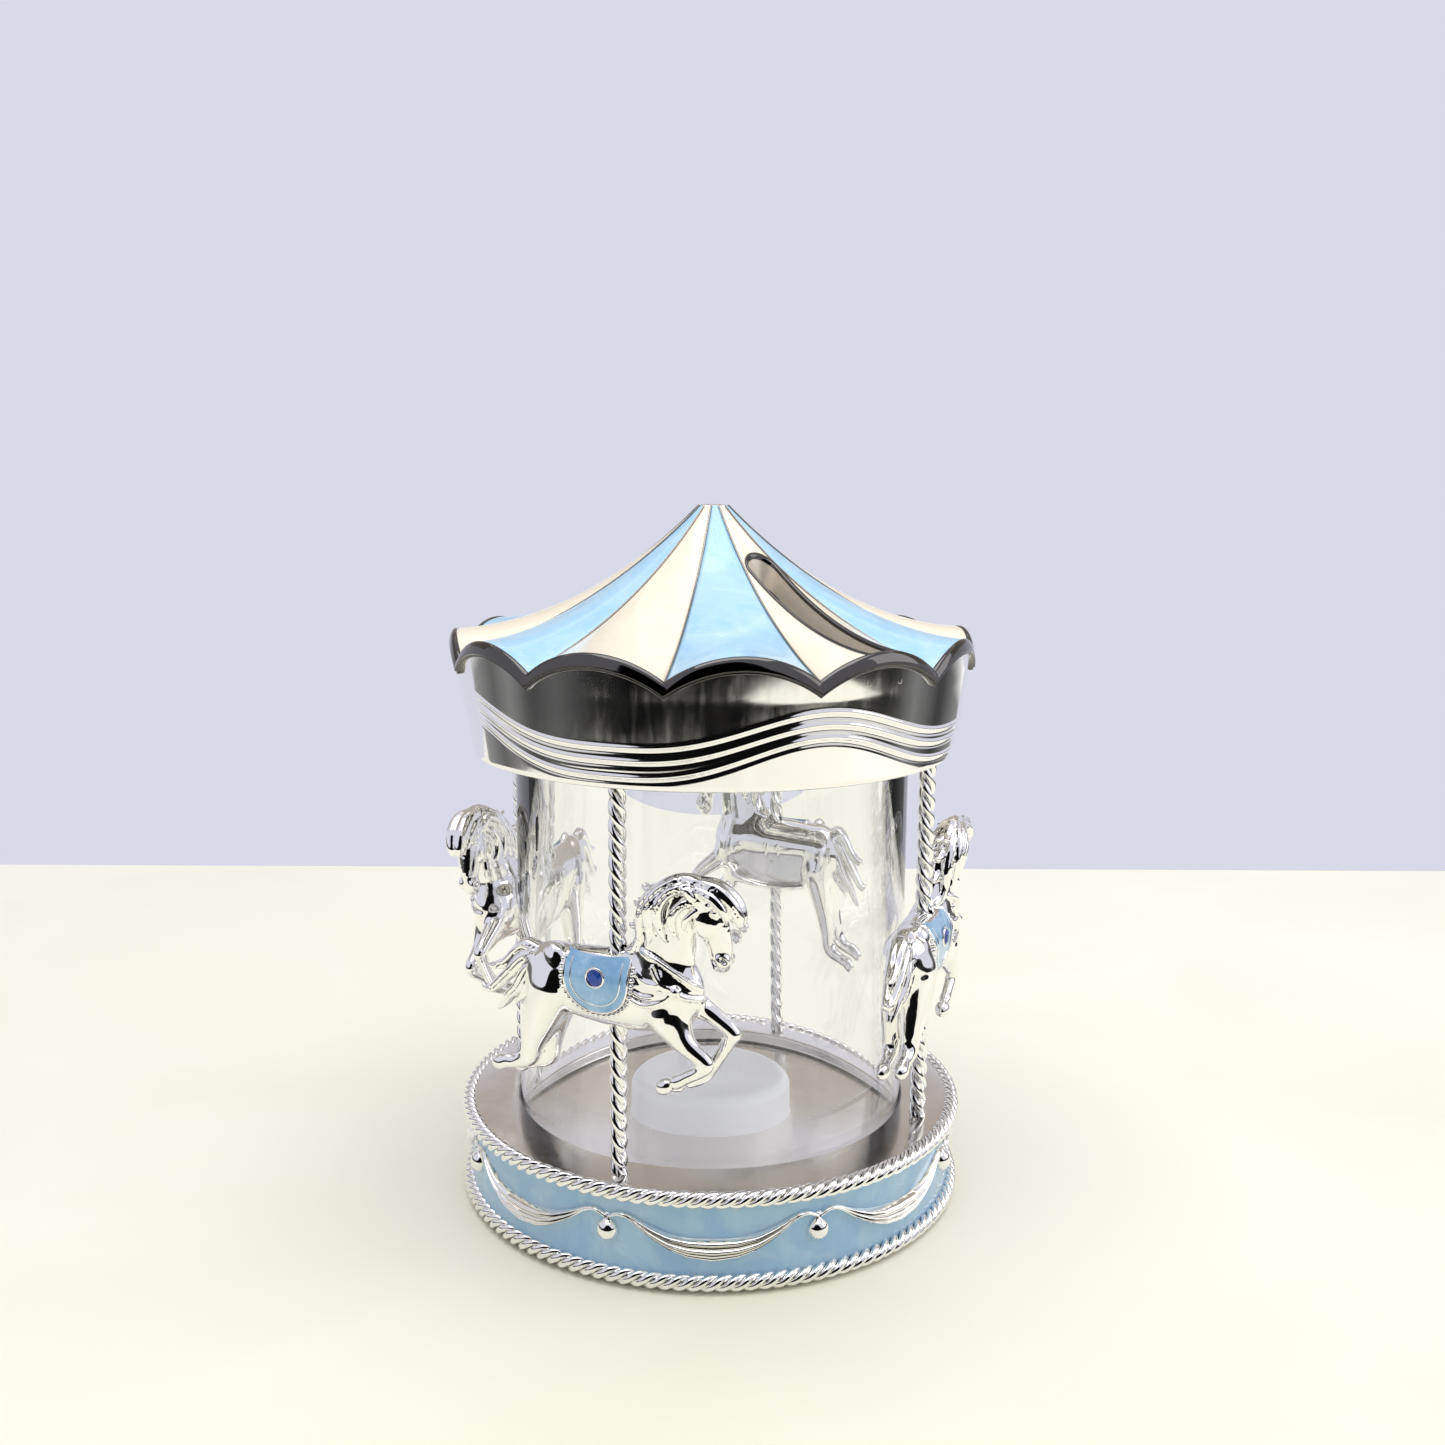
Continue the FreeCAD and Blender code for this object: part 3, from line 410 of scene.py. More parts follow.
def twisted_rod_tree() -> GeometryTree:
    """Strands twisted round each other along an upright line, over a plain core that stands out at both ends.

    Returns:
        The tree.
    """
    tree = GeometryTree("twisted_rod", {
        "X": 0.0, "Y": 0.0, "Bottom": 0.0, "Length": 0.075, "Lead": 0.009, "Lay Radius": 0.0008,
        "Strand Radius": 0.0007, "Core Radius": 0.0009, "Core Below": 0.0035, "Core Above": 0.004,
        "Strands": 3, "Steps": 360, "Sides": 10,
    })
    given = tree.given
    line = tree.node("GeometryNodeCurvePrimitiveLine", {"End": (0.0, 0.0, 1.0)})
    fine = tree.node("GeometryNodeResampleCurve", {"Curve": line.outputs[0], "Count": given["Steps"]})
    copies = tree.node("GeometryNodeDuplicateElements", {"Geometry": fine.outputs[0], "Amount": given["Strands"]},
                       domain="SPLINE")
    along = tree.math("MULTIPLY", tree.node("GeometryNodeSplineParameter").outputs["Factor"], given["Length"])
    phase = tree.math("DIVIDE", tree.math("MULTIPLY", copies.outputs["Duplicate Index"], TURN), given["Strands"])
    lay = tree.math("SUBTRACT", phase, tree.math("MULTIPLY", tree.math("DIVIDE", along, given["Lead"]), TURN))
    place = tree.node("ShaderNodeCombineXYZ", {
        0: tree.math("MULTIPLY", tree.math("COSINE", lay), given["Lay Radius"]),
        1: tree.math("MULTIPLY", tree.math("SINE", lay), given["Lay Radius"]),
        2: along,
    })
    path = tree.node("GeometryNodeSetPosition", {"Geometry": copies.outputs["Geometry"], "Position": place.outputs[0]})
    strands = tree.swept(path.outputs[0], "Strand Radius")
    depth = tree.math("ADD", given["Length"], tree.math("ADD", given["Core Below"], given["Core Above"]))
    core = tree.node("GeometryNodeMeshCylinder", {"Vertices": 24, "Radius": given["Core Radius"], "Depth": depth})
    middle = tree.math("SUBTRACT", tree.math("MULTIPLY", depth, 0.5), given["Core Below"])
    core_place = tree.node("ShaderNodeCombineXYZ", {2: middle})
    core_moved = tree.node("GeometryNodeTransform", {"Geometry": core.outputs[0], "Translation": core_place.outputs[0]})
    both = tree.node("GeometryNodeJoinGeometry")
    tree.tree.links.new(strands, both.inputs[0])
    tree.tree.links.new(core_moved.outputs[0], both.inputs[0])
    foot = tree.node("ShaderNodeCombineXYZ", {0: given["X"], 1: given["Y"], 2: given["Bottom"]})
    moved = tree.node("GeometryNodeTransform", {"Geometry": both.outputs[0], "Translation": foot.outputs[0]})
    tree.finish(moved.outputs[0])
    return tree


def ring_of_tree() -> GeometryTree:
    """Copies of one motif evenly round the upright axis.

    Returns:
        The tree.
    """
    tree = GeometryTree("ring_of", {"Count": 8, "Start Angle": 0.0}, takes_object="Motif")
    motif = tree.node("GeometryNodeObjectInfo", {"Object": tree.given["Motif"]})
    tree.finish_round(motif.outputs["Geometry"])
    return tree


def wire_tree() -> GeometryTree:
    """A round wire along a line object's edges, repeated evenly round the upright axis.

    Returns:
        The tree.
    """
    tree = GeometryTree("wire_along", {"Wire Radius": 0.00014, "Sides": 8, "Count": 1, "Start Angle": 0.0},
                        takes_object="Line")
    tree.finish_round(tree.swept(tree.line_path(), "Wire Radius"))
    return tree


def bead_line_tree() -> GeometryTree:
    """Small round beads evenly along a line object.

    Returns:
        The tree.
    """
    tree = GeometryTree("beads_along", {"Bead Radius": 0.0003, "Spacing": 0.0006}, takes_object="Line")
    places = tree.node("GeometryNodeResampleCurve", {"Curve": tree.line_path(), "Length": tree.given["Spacing"]},
                       mode="LENGTH")
    bead = tree.node("GeometryNodeMeshUVSphere", {
        "Segments": 10, "Rings": 6, "Radius": tree.given["Bead Radius"]})
    copies = tree.node("GeometryNodeInstanceOnPoints", {"Points": places.outputs[0], "Instance": bead.outputs[0]})
    tree.finish(copies.outputs[0])
    return tree


def line_object(name: str, points: np.ndarray, closed: bool = False) -> bpy.types.Object:
    """An edge-only mesh along points in millimetres, for a tree to follow.

    Args:
        name: The object's name.
        points: The places in order.
        closed: Join the last place to the first.

    Returns:
        The new object.
    """
    count = len(points)
    edges = [(i, (i + 1) % count) for i in range(count if closed else count - 1)]
    mesh = bpy.data.meshes.new(name)
    mesh.from_pydata((points * MM).tolist(), edges, [])
    return linked(name, mesh)


# ---------------------------------------------------------------- shader groups


class ShaderTree(NodeHelpers):
    """A shader node tree with helpers for its usual nodes."""

    def remap(self, value: object, low: float, high: float, to_low: float = 0.0,
              to_high: float = 1.0) -> bpy.types.NodeSocket:
        """A clamped linear map from one range to another."""
        feeds = {"Value": value, "From Min": low, "From Max": high, "To Min": to_low, "To Max": to_high}
        return self.node("ShaderNodeMapRange", feeds).outputs[0]

    def mix(self, share: object, first: object, second: object) -> bpy.types.NodeSocket:
        """A colour between two colours."""
        return self.node("ShaderNodeMix", {0: share, 6: first, 7: second}, data_type="RGBA").outputs[2]

    def noise(self, where: object, scale: object, detail: float = 4.0, distortion: float = 0.0) -> bpy.types.Node:
        """A noise texture node."""
        return self.node("ShaderNodeTexNoise", {
            "Vector": where, "Scale": scale, "Detail": detail, "Distortion": distortion})


def new_group(name: str, inputs: dict[str, float | tuple], outputs: dict[str, str]) -> ShaderTree:
    """Starts a shader node group.

    Args:
        name: The group's name.
        inputs: Named inputs and their usual values, a number or a colour.
        outputs: Named outputs and their socket types.

    Returns:
        Helpers for the group's tree.
    """
    group = bpy.data.node_groups.new(name, "ShaderNodeTree")
    for label, value in inputs.items():
        kind = "NodeSocketColor" if isinstance(value, tuple) else "NodeSocketFloat"
        group.interface.new_socket(label, in_out="INPUT", socket_type=kind).default_value = value
    for label, kind in outputs.items():
        group.interface.new_socket(label, in_out="OUTPUT", socket_type=kind)
    return ShaderTree(group)


def plating_group() -> bpy.types.NodeTree:
    """Polished plating: hairline scratches, soft waviness and faint tarnish in the hollows.

    Returns:
        The group.
    """
    shade = new_group("plating", {"Scratch Scale": 900.0, "Wave Scale": 60.0, "Scratch": 0.3, "Wave": 1.0,
                                  "Smooth Roughness": 0.04, "Worn Roughness": 0.13,
                                  "Bright": (0.93, 0.92, 0.9, 1.0), "Dull": (0.78, 0.75, 0.7, 1.0)},
                      {"Color": "NodeSocketColor", "Roughness": "NodeSocketFloat", "Height": "NodeSocketFloat"})
    given = shade.node("NodeGroupInput").outputs
    where = shade.node("ShaderNodeTexCoord").outputs["Object"]
    stretched = shade.node("ShaderNodeMapping", {"Vector": where, "Scale": (1.0, 1.0, 0.12)}).outputs[0]
    lines = shade.noise(stretched, given["Scratch Scale"], 3.0).outputs[0]
    hair = shade.remap(lines, 0.5, 0.74)
    wave = shade.noise(where, given["Wave Scale"], 2.0).outputs[0]
    cloud = shade.remap(shade.noise(where, shade.math("MULTIPLY", given["Wave Scale"], 3.0), 5.0).outputs[0], 0.42, 0.7)
    hollow = shade.remap(shade.node("ShaderNodeNewGeometry").outputs["Pointiness"], 0.36, 0.5, 1.0, 0.0)
    tarnish = shade.math("MINIMUM", shade.math("MULTIPLY", hollow, shade.math("ADD", 0.45, cloud)), 1.0)
    color = shade.mix(tarnish, given["Bright"], given["Dull"])
    dull = shade.math("MINIMUM", shade.math("ADD", shade.math("MULTIPLY", hair, 0.35),
                                            shade.math("MULTIPLY", cloud, 0.4)), 1.0)
    span = shade.math("SUBTRACT", given["Worn Roughness"], given["Smooth Roughness"])
    roughness = shade.math("ADD", given["Smooth Roughness"], shade.math("MULTIPLY", span, dull))
    height = shade.math("SUBTRACT", shade.math("MULTIPLY", wave, given["Wave"]),
                        shade.math("MULTIPLY", hair, shade.math("MULTIPLY", given["Scratch"], 0.01)))
    shade.node("NodeGroupOutput", {"Color": color, "Roughness": roughness, "Height": height})
    return shade.tree


def pearl_group() -> bpy.types.NodeTree:
    """Pearly enamel: drifting clouds of two colours with fine brushed streaks and a few specks.

    Returns:
        The group.
    """
    shade = new_group("pearl", {"Base": (0.5, 0.7, 0.85, 1.0), "Light": (0.8, 0.9, 0.95, 1.0),
                                "Deep": (0.4, 0.6, 0.8, 1.0), "Cloud Scale": 90.0, "Streak Scale": 500.0,
                                "Cloud": 0.6, "Streak": 0.3},
                      {"Color": "NodeSocketColor", "Roughness": "NodeSocketFloat", "Height": "NodeSocketFloat"})
    given = shade.node("NodeGroupInput").outputs
    where = shade.node("ShaderNodeTexCoord").outputs["Object"]
    cloud_noise = shade.noise(where, given["Cloud Scale"], 5.0, 1.6).outputs[0]
    light = shade.math("MULTIPLY", shade.remap(cloud_noise, 0.46, 0.66), given["Cloud"])
    deep = shade.math("MULTIPLY", shade.remap(cloud_noise, 0.5, 0.3), given["Cloud"])
    streaks = shade.noise(shade.node("ShaderNodeMapping", {"Vector": where, "Scale": (1.0, 1.0, 0.25)}).outputs[0],
                          given["Streak Scale"], 3.0, 2.4).outputs[0]
    streak = shade.math("MULTIPLY", shade.remap(streaks, 0.52, 0.72), given["Streak"])
    color = shade.mix(light, given["Base"], given["Light"])
    color = shade.mix(deep, color, given["Deep"])
    color = shade.mix(streak, color, given["Light"])
    specks = shade.remap(shade.noise(where, 2600.0, 1.0).outputs[0], 0.74, 0.8)
    color = shade.mix(shade.math("MULTIPLY", specks, 0.35), color, given["Deep"])
    roughness = shade.remap(cloud_noise, 0.3, 0.7, 0.16, 0.3)
    height = shade.math("ADD", cloud_noise, shade.math("MULTIPLY", streaks, 0.15))
    shade.node("NodeGroupOutput", {"Color": color, "Roughness": roughness, "Height": height})
    return shade.tree


def grain_group() -> bpy.types.NodeTree:
    """Moulded or foamed grain with dust that settles on upward faces.

    Returns:
        The group.
    """
    shade = new_group("grain", {"Base": (0.6, 0.6, 0.6, 1.0), "Dust Color": (0.7, 0.69, 0.66, 1.0),
                                "Grain Scale": 1500.0, "Dust": 0.2, "Low Roughness": 0.4, "High Roughness": 0.6},
                      {"Color": "NodeSocketColor", "Roughness": "NodeSocketFloat", "Height": "NodeSocketFloat"})
    given = shade.node("NodeGroupInput").outputs
    where = shade.node("ShaderNodeTexCoord").outputs["Object"]
    grain = shade.noise(where, given["Grain Scale"], 3.0).outputs[0]
    blotch = shade.noise(where, shade.math("MULTIPLY", given["Grain Scale"], 0.06), 4.0).outputs[0]
    up = shade.node("ShaderNodeSeparateXYZ", {0: shade.node("ShaderNodeNewGeometry").outputs["Normal"]}).outputs[2]
    dust = shade.math("MULTIPLY", shade.remap(up, 0.2, 1.0), shade.math("MULTIPLY", blotch, given["Dust"]))
    color = shade.mix(dust, given["Base"], given["Dust Color"])
    color = shade.mix(shade.remap(grain, 0.5, 0.8, 0.0, 0.12), color, (0.1, 0.1, 0.1, 1.0))
    span = shade.math("SUBTRACT", given["High Roughness"], given["Low Roughness"])
    roughness = shade.math("ADD", given["Low Roughness"], shade.math("MULTIPLY", span, blotch))
    shade.node("NodeGroupOutput", {"Color": color, "Roughness": roughness, "Height": grain})
    return shade.tree


# ---------------------------------------------------------------- finishes


def linear(*shares: int) -> tuple[float, float, float, float]:
    """A display colour of three numbers from 0 to 255 as a linear colour.

    Args:
        shares: Red, green and blue.

    Returns:
        The linear colour and a full alpha.
    """
    values = [share / 255.0 for share in shares]
    low = [value / 12.92 if value <= 0.04045 else ((value + 0.055) / 1.055) ** 2.4 for value in values]
    return (*low, 1.0)


class Slot(Enum):
    """The finish slots."""

    SILVER = "silver_plate"
    BLUE = "enamel_blue"
    CREAM = "enamel_cream"
    PEARL = "enamel_pearl"
    SADDLE = "enamel_saddle"
    GEM = "gem_glass"
    ACRYLIC = "clear_acrylic"
    STOPPER = "stopper_plastic"
    PAD = "pad_foam"
    COVER = "cover_plastic"
    STEEL = "fastener_steel"


class Groups:
    """The shader groups, each built once."""

    def __init__(self) -> None:
        """Builds every group."""
        self.plating = plating_group()
        self.pearl = pearl_group()
        self.grain = grain_group()


@dataclass(frozen=True)
class Finish:
    """A finish: one shader group feeding a Principled shader with plain values on its own sockets."""

    name: str
    slot: Slot
    group: str
    group_values: dict = field(default_factory=dict)
    shader_values: dict = field(default_factory=dict)
    bump_distance: float = 0.00002
    bump_strength: float = 0.3

    def build(self, groups: Groups) -> bpy.types.Material:
        """Makes the material.

        Args:
            groups: The shared shader groups.

        Returns:
            The material.
        """
        material = bpy.data.materials.new(self.name)
        material.use_nodes = True
        shade = ShaderTree(material.node_tree)
        shader = material.node_tree.nodes["Principled BSDF"]
        group = shade.node("ShaderNodeGroup", node_tree=getattr(groups, self.group))
        for label, value in self.group_values.items():
            group.inputs[label].default_value = value
        for label, value in self.shader_values.items():
            shader.inputs[label].default_value = value
        links = material.node_tree.links
        if "Base Color" not in self.shader_values:
            links.new(group.outputs["Color"], shader.inputs["Base Color"])
        links.new(group.outputs["Roughness"], shader.inputs["Roughness"])
        bump = shade.node("ShaderNodeBump", {"Height": group.outputs["Height"], "Strength": self.bump_strength,
                                             "Distance": self.bump_distance})
        links.new(bump.outputs[0], shader.inputs["Normal"])
        return material


def plated(name: str, scales: tuple[float, float], roughness: tuple[float, float],
           bright: tuple[float, float, float], dull: tuple[float, float, float], bump: tuple[float, float],
           metallic: float = 1.0, wave: float = 1.0, slot: Slot = Slot.SILVER) -> Finish:
    """A polished plating.

    Args:
        name: The finish's name.
        scales: Scales of the scratches and of the waviness.
        roughness: Smooth and worn roughness.
        bright: Its colour where clean.
        dull: Its colour in the hollows.
        bump: Height and strength of the waviness.
        metallic: How metallic it is.
        wave: How wavy it is.
        slot: The finish's slot.

    Returns:
        The finish.
    """
    values = {"Scratch Scale": scales[0], "Wave Scale": scales[1], "Wave": wave, "Smooth Roughness": roughness[0],
              "Worn Roughness": roughness[1], "Bright": (*bright, 1.0), "Dull": (*dull, 1.0)}
    return Finish(name, slot, "plating", values, {"Metallic": metallic}, *bump)


def enamelled(name: str, slot: Slot, colors: tuple[tuple[int, int, int], ...], scales: tuple[float, float],
              amounts: tuple[float, float], coat: tuple[float, float], bump: tuple[float, float]) -> Finish:
    """A pearly enamel.

    Args:
        name: The finish's name.
        slot: The finish's slot.
        colors: Display colours of its ground, light clouds and deep clouds.
        scales: Scales of the clouds and of the streaks.
        amounts: How strong the clouds and the streaks are.
        coat: Weight and roughness of the clear coat.
        bump: Height and strength of the unevenness.

    Returns:
        The finish.
    """
    base, light, deep = (linear(*color) for color in colors)
    values = {"Base": base, "Light": light, "Deep": deep, "Cloud Scale": scales[0], "Streak Scale": scales[1],
              "Cloud": amounts[0], "Streak": amounts[1]}
    return Finish(name, slot, "pearl", values, {"Coat Weight": coat[0], "Coat Roughness": coat[1], "IOR": 1.5}, *bump)


def clear(name: str, slot: Slot, color: tuple[float, float, float], ior: float, scale: float, marks: float) -> Finish:
    """A clear finish with fine marks in its surface.

    Args:
        name: The finish's name.
        slot: The finish's slot.
        color: Its tint.
        ior: How much it bends light.
        scale: Scale of the marks.
        marks: Strength of the marks.

    Returns:
        The finish.
    """
    values = {"Grain Scale": scale, "Dust": 0.0, "Low Roughness": 0.0, "High Roughness": 0.02}
    return Finish(name, slot, "grain", values,
                  {"Base Color": (*color, 1.0), "Transmission Weight": 1.0, "IOR": ior}, 0.00002, marks)


SILVER = plated("silver_plating", (900.0, 70.0), (0.035, 0.1), (0.95, 0.94, 0.92), (0.74, 0.71, 0.66),
                (0.00003, 0.25))
BAND_SILVER = plated("band_plating", (700.0, 45.0), (0.05, 0.16), (0.94, 0.93, 0.92), (0.72, 0.7, 0.66),
                     (0.00003, 0.3))
DECK_SILVER = plated("deck_plating", (500.0, 55.0), (0.14, 0.3), (0.88, 0.84, 0.8), (0.66, 0.61, 0.55),
                     (0.00005, 0.35))
# Slot walls: a beige, half-metallic plating, lighter than the silver plate they are, is painted light reflected inside
# the slot.
SLOT_PAINTED_LIGHT = plated("slot_brushed_painted_light", (500.0, 80.0), (0.3, 0.5), (0.9, 0.82, 0.68), (0.7, 0.62, 0.5),
                     (0.00004, 0.4), metallic=0.4)
# Roof rim and slot frame: a near-black plating on what is silver plate, a painted dark reflection.
DARK_REFLECTION_PLATING = plated("edge_painted_dark_reflection", (600.0, 70.0), (0.05, 0.14), (0.11, 0.105, 0.1), (0.045, 0.042, 0.04),
                     (0.00003, 0.25))
# Seam wires: a darker grey plating on what is silver plate, a painted dark reflection along the seams.
SEAM_PAINTED_DARK = plated("seam_painted_dark_reflection", (900.0, 90.0), (0.1, 0.25), (0.3, 0.28, 0.26), (0.16, 0.15, 0.14),
                     (0.00003, 0.25))
STEEL = plated("fastener_steel", (1500.0, 200.0), (0.25, 0.45), (0.6, 0.6, 0.6), (0.4, 0.39, 0.37),
               (0.00001, 0.4), wave=0.3, slot=Slot.STEEL)
ROOF_BLUE = enamelled("roof_enamel_blue", Slot.BLUE, ((172, 218, 243), (206, 234, 247), (152, 207, 241)),
                      (70.0, 420.0), (0.45, 0.3), (0.4, 0.04), (0.00006, 0.2))
ROOF_CREAM = enamelled("roof_enamel_cream", Slot.CREAM, ((254, 243, 214), (255, 250, 234), (248, 232, 198)),
                       (70.0, 420.0), (0.4, 0.2), (0.4, 0.04), (0.00006, 0.2))
DRUM_PEARL = enamelled("drum_enamel_pearl", Slot.PEARL, ((150, 188, 212), (178, 206, 220), (134, 176, 212)),
                       (85.0, 380.0), (0.6, 0.22), (0.5, 0.06), (0.00008, 0.25))
SADDLE_BLUE = enamelled("saddle_enamel", Slot.SADDLE, ((132, 178, 212), (172, 208, 232), (104, 156, 200)),
                        (130.0, 600.0), (0.6, 0.25), (0.8, 0.03), (0.00003, 0.2))
PAD_FOAM = Finish("pad_foam", Slot.PAD, "grain",
                  {"Base": linear(96, 98, 104), "Grain Scale": 2600.0, "Dust": 0.3, "Low Roughness": 0.8,
                   "High Roughness": 0.95}, {}, 0.00006, 0.7)
COVER_PLASTIC = Finish("cover_plastic", Slot.COVER, "grain",
                       {"Base": linear(226, 226, 224), "Grain Scale": 3200.0, "Dust": 0.2, "Low Roughness": 0.42,
                        "High Roughness": 0.6}, {}, 0.00003, 0.5)
# Stopper: its faint emission is a painted glow, standing for the light that reaches it through the clear tube.
STOPPER_PAINTED_GLOW = Finish("stopper_frosted_painted_glow", Slot.STOPPER, "grain",
                       {"Base": linear(246, 247, 250), "Dust Color": linear(250, 250, 250), "Grain Scale": 2400.0,
                        "Dust": 0.2, "Low Roughness": 0.34, "High Roughness": 0.5},
                       {"Subsurface Weight": 0.3, "Subsurface Radius": (0.004, 0.004, 0.004),
                        "Subsurface Scale": 1.0, "Emission Color": (0.9, 0.91, 0.96, 1.0), "Emission Strength": 0.24,
                        "Coat Weight": 0.3, "Coat Roughness": 0.2, "IOR": 1.5}, 0.00002, 0.3)
ACRYLIC = clear("clear_acrylic", Slot.ACRYLIC, (0.985, 0.99, 0.99), 1.49, 60.0, 0.05)
GEM_BLUE = clear("gem_blue", Slot.GEM, (0.03, 0.16, 0.75), 1.62, 200.0, 0.0)


class Wardrobe:
    """Every finish as a built material, and the calls that dress a piece with one."""

    def __init__(self) -> None:
        """Builds the shader groups; a material is built when it is first asked for."""
        self.groups = Groups()
        self.made = {}

    def material(self, finish: Finish) -> bpy.types.Material:
        """The built material of a finish.

        Args:
            finish: The finish.

        Returns:
            Its material.
        """
        if finish.name not in self.made:
            self.made[finish.name] = finish.build(self.groups)
        return self.made[finish.name]

    def dress(self, piece: bpy.types.Object, finish: Finish, *stands_for: str,
              body: str = BANK) -> bpy.types.Object:
        """Gives a new piece its finish and body, and hides the CAD nodes that it stands for.

        Args:
            piece: The new piece.
            finish: Its finish.
            stands_for: CAD nodes that it replaces.
            body: The body that it rides on.

        Returns:
            The piece.
        """
        piece.data.materials.clear()
        piece.data.materials.append(self.material(finish))
        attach(piece, body)
        if stands_for:
            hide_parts(*stands_for)
        log.info("%s: %d faces, %s", piece.name, len(piece.data.polygons), finish.name)
        return piece

    def dress_node(self, name: str, finish: Finish) -> None:
        """Gives a carried-over CAD node a better material.

        Args:
            name: The node's name.
            finish: Its finish.
        """
        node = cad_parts[name]
        for slot_ in node.material_slots:
            slot_.material = self.material(finish)
        if not node.material_slots:
            node.data.materials.append(self.material(finish))
        log.info("%s: CAD node, %s", name, finish.name)


# ---------------------------------------------------------------- sub-assemblies


@dataclass
class Base:
    """The hollow round base with its enamelled drum, ropes, swags, beads and mirror deck. Sizes in millimetres."""

    drum_radius: float = 45.3
    drum_wall: float = 2.2
    bottom: float = 1.0
    deck_top: float = 17.2
    deck_thickness: float = 2.0
    floor_top: float = 15.2
    recess_radius: float = 36.5
    stopper_hole: float = 14.95
    rope_ring: float = 46.05
    rope_heights: tuple[float, float] = (1.75, 16.3)
    rope_lay: float = 0.8
    rope_strand: float = 0.65
    rope_turns: int = 41
    enamel_mid: float = 45.62
    enamel_edge: float = 45.8
    motifs: int = 8
    bead_height: float = 9.3
    bead_radius: float = 1.95
    boss_ring: float = 33.0
    boss_radius: float = 2.6
    boss_foot: float = 3.4
    boss_top: float = 13.25
    boss_bore: float = 0.9

    def casting(self) -> bpy.types.Object:
        """The cast base: drum wall, deck, tube recess and floor.

        Returns:
            The casting.
        """
        inner = self.drum_radius - self.drum_wall
        deck_under = self.deck_top - self.deck_thickness
        floor_under = self.floor_top - self.deck_thickness
        step = self.recess_radius + self.deck_thickness
        profile = [
            (self.drum_radius, self.bottom), (self.drum_radius, self.deck_top),
            (self.recess_radius, self.deck_top), (self.recess_radius, self.floor_top),
            (self.stopper_hole, self.floor_top), (self.stopper_hole, floor_under),
            (step, floor_under), (step, deck_under), (inner, deck_under), (inner, self.bottom),
        ]
        return lathe("base_casting_fine", rounded(profile, {0: 0.2, 1: 0.3, 2: 0.45, 3: 0.3, 4: 0.25, 6: 0.5, 8: 0.5}),
                     384)

    def enamel(self) -> bpy.types.Object:
        """The pearly enamel sleeve, slightly hollow between the ropes.

        Returns:
            The sleeve.
        """
        low, high = self.rope_heights[0] + 0.5, self.rope_heights[1] - 0.5
        heights = np.linspace(low, high, 25)
        share = (heights - (low + high) / 2) / ((high - low) / 2)
        radii = self.enamel_mid + (self.enamel_edge - self.enamel_mid) * share ** 2
        outer = list(zip(radii.tolist(), heights.tolist()))
        return lathe("drum_enamel_fine", outer + [(self.drum_radius + 0.02, high), (self.drum_radius + 0.02, low)], 384)

    def swag_edges(self, offset: np.ndarray) -> tuple[np.ndarray, np.ndarray]:
        """Upper and lower edge heights of a swag at offsets in degrees from its middle.

        Args:
            offset: The offsets.

        Returns:
            Heights of the upper and of the lower edge.
        """
        places = np.array([0.0, 5.0, 9.1, 13.1, 15.3, 17.0, 18.4, 19.6, 20.6, 21.5, 22.5])
        upper = np.array([9.45, 9.55, 10.1, 11.2, 11.95, 12.6, 12.95, 13.0, 12.85, 12.5, 12.1])
        lower = np.array([5.35, 5.95, 7.25, 9.2, 10.45, 11.45, 12.0, 12.15, 12.0, 11.6, 11.2])
        where = np.abs(offset)
        return np.interp(where, places, upper), np.interp(where, places, lower)

    def swag_motif(self) -> bpy.types.Object:
        """One hanging swag of three folds, pinned at both ends with a small loop.

        Returns:
            The swag.
        """
        offsets = np.linspace(-22.2, 22.2, 121)
        fine = np.linspace(-22.5, 22.5, 400)
        upper_fine, lower_fine = self.swag_edges(fine)
        kernel = np.hanning(19)
        kernel /= kernel.sum()
        upper = np.interp(offsets, fine, np.convolve(np.pad(upper_fine, 9, "edge"), kernel, "valid"))
        lower = np.interp(offsets, fine, np.convolve(np.pad(lower_fine, 9, "edge"), kernel, "valid"))
        across = np.concatenate([[-0.02], np.linspace(0.0, 1.0, 31), [1.02]])
        width = (upper - lower)[:, None]
        t = across[None, :]
        height = upper[:, None] - width * np.clip(t, 0, 1)
        inside = np.clip(1.0 - (2.0 * np.clip(t, 0, 1) - 1.0) ** 2, 0.0, 1.0) ** 0.5
        folds = np.abs(np.cos(1.5 * np.pi * (2.0 * np.clip(t, 0, 1) - 1.0))) ** 0.7
        shares = smoothstep(0.9, 2.2, width)
        relief = inside * ((1.0 - shares) + shares * (0.2 + 0.8 * folds))
        rise = (0.75 + 0.8 * smoothstep(0.5, 3.0, width)) * relief
        radius = self.enamel_mid + rise
        radius[:, [0, -1]] = self.drum_radius + 0.05
        angle = np.radians(offsets)[:, None] + np.zeros_like(radius)
        points = np.stack([radius * np.cos(angle), radius * np.sin(angle), height + np.zeros_like(radius)], axis=2)
        faces = grid_faces(len(offsets), len(across), False, True)
        fan = np.arange(1, len(across) - 1)
        end = np.stack([fan * 0, fan, fan + 1], axis=1)
        last = (len(offsets) - 1) * len(across)
        faces = faces.tolist() + end.tolist() + (end[:, ::-1] + last).tolist()
        return tidy_normals(mesh_object("swag_motif", points.reshape(-1, 3), faces))

    def bead_motif(self) -> bpy.types.Object:
        """One drop-shaped bead that hangs from a small knob.

        Returns:
            The bead.
        """
        z, r = self.bead_height, self.bead_radius
        profile = [(0.0, z - r)]
        for angle in np.linspace(-80, 58, 16):
            profile.append((r * math.cos(math.radians(angle)), z + r * math.sin(math.radians(angle))))
        profile += [(0.42, z + r + 0.12), (0.38, z + r + 0.25), (0.62, z + r + 0.4), (0.78, z + r + 0.72),
                    (0.62, z + r + 1.05), (0.3, z + r + 1.2), (0.0, z + r + 1.22)]
        return lathe("bead_motif", profile, 28, False, (self.drum_radius + 0.2, 0.0))

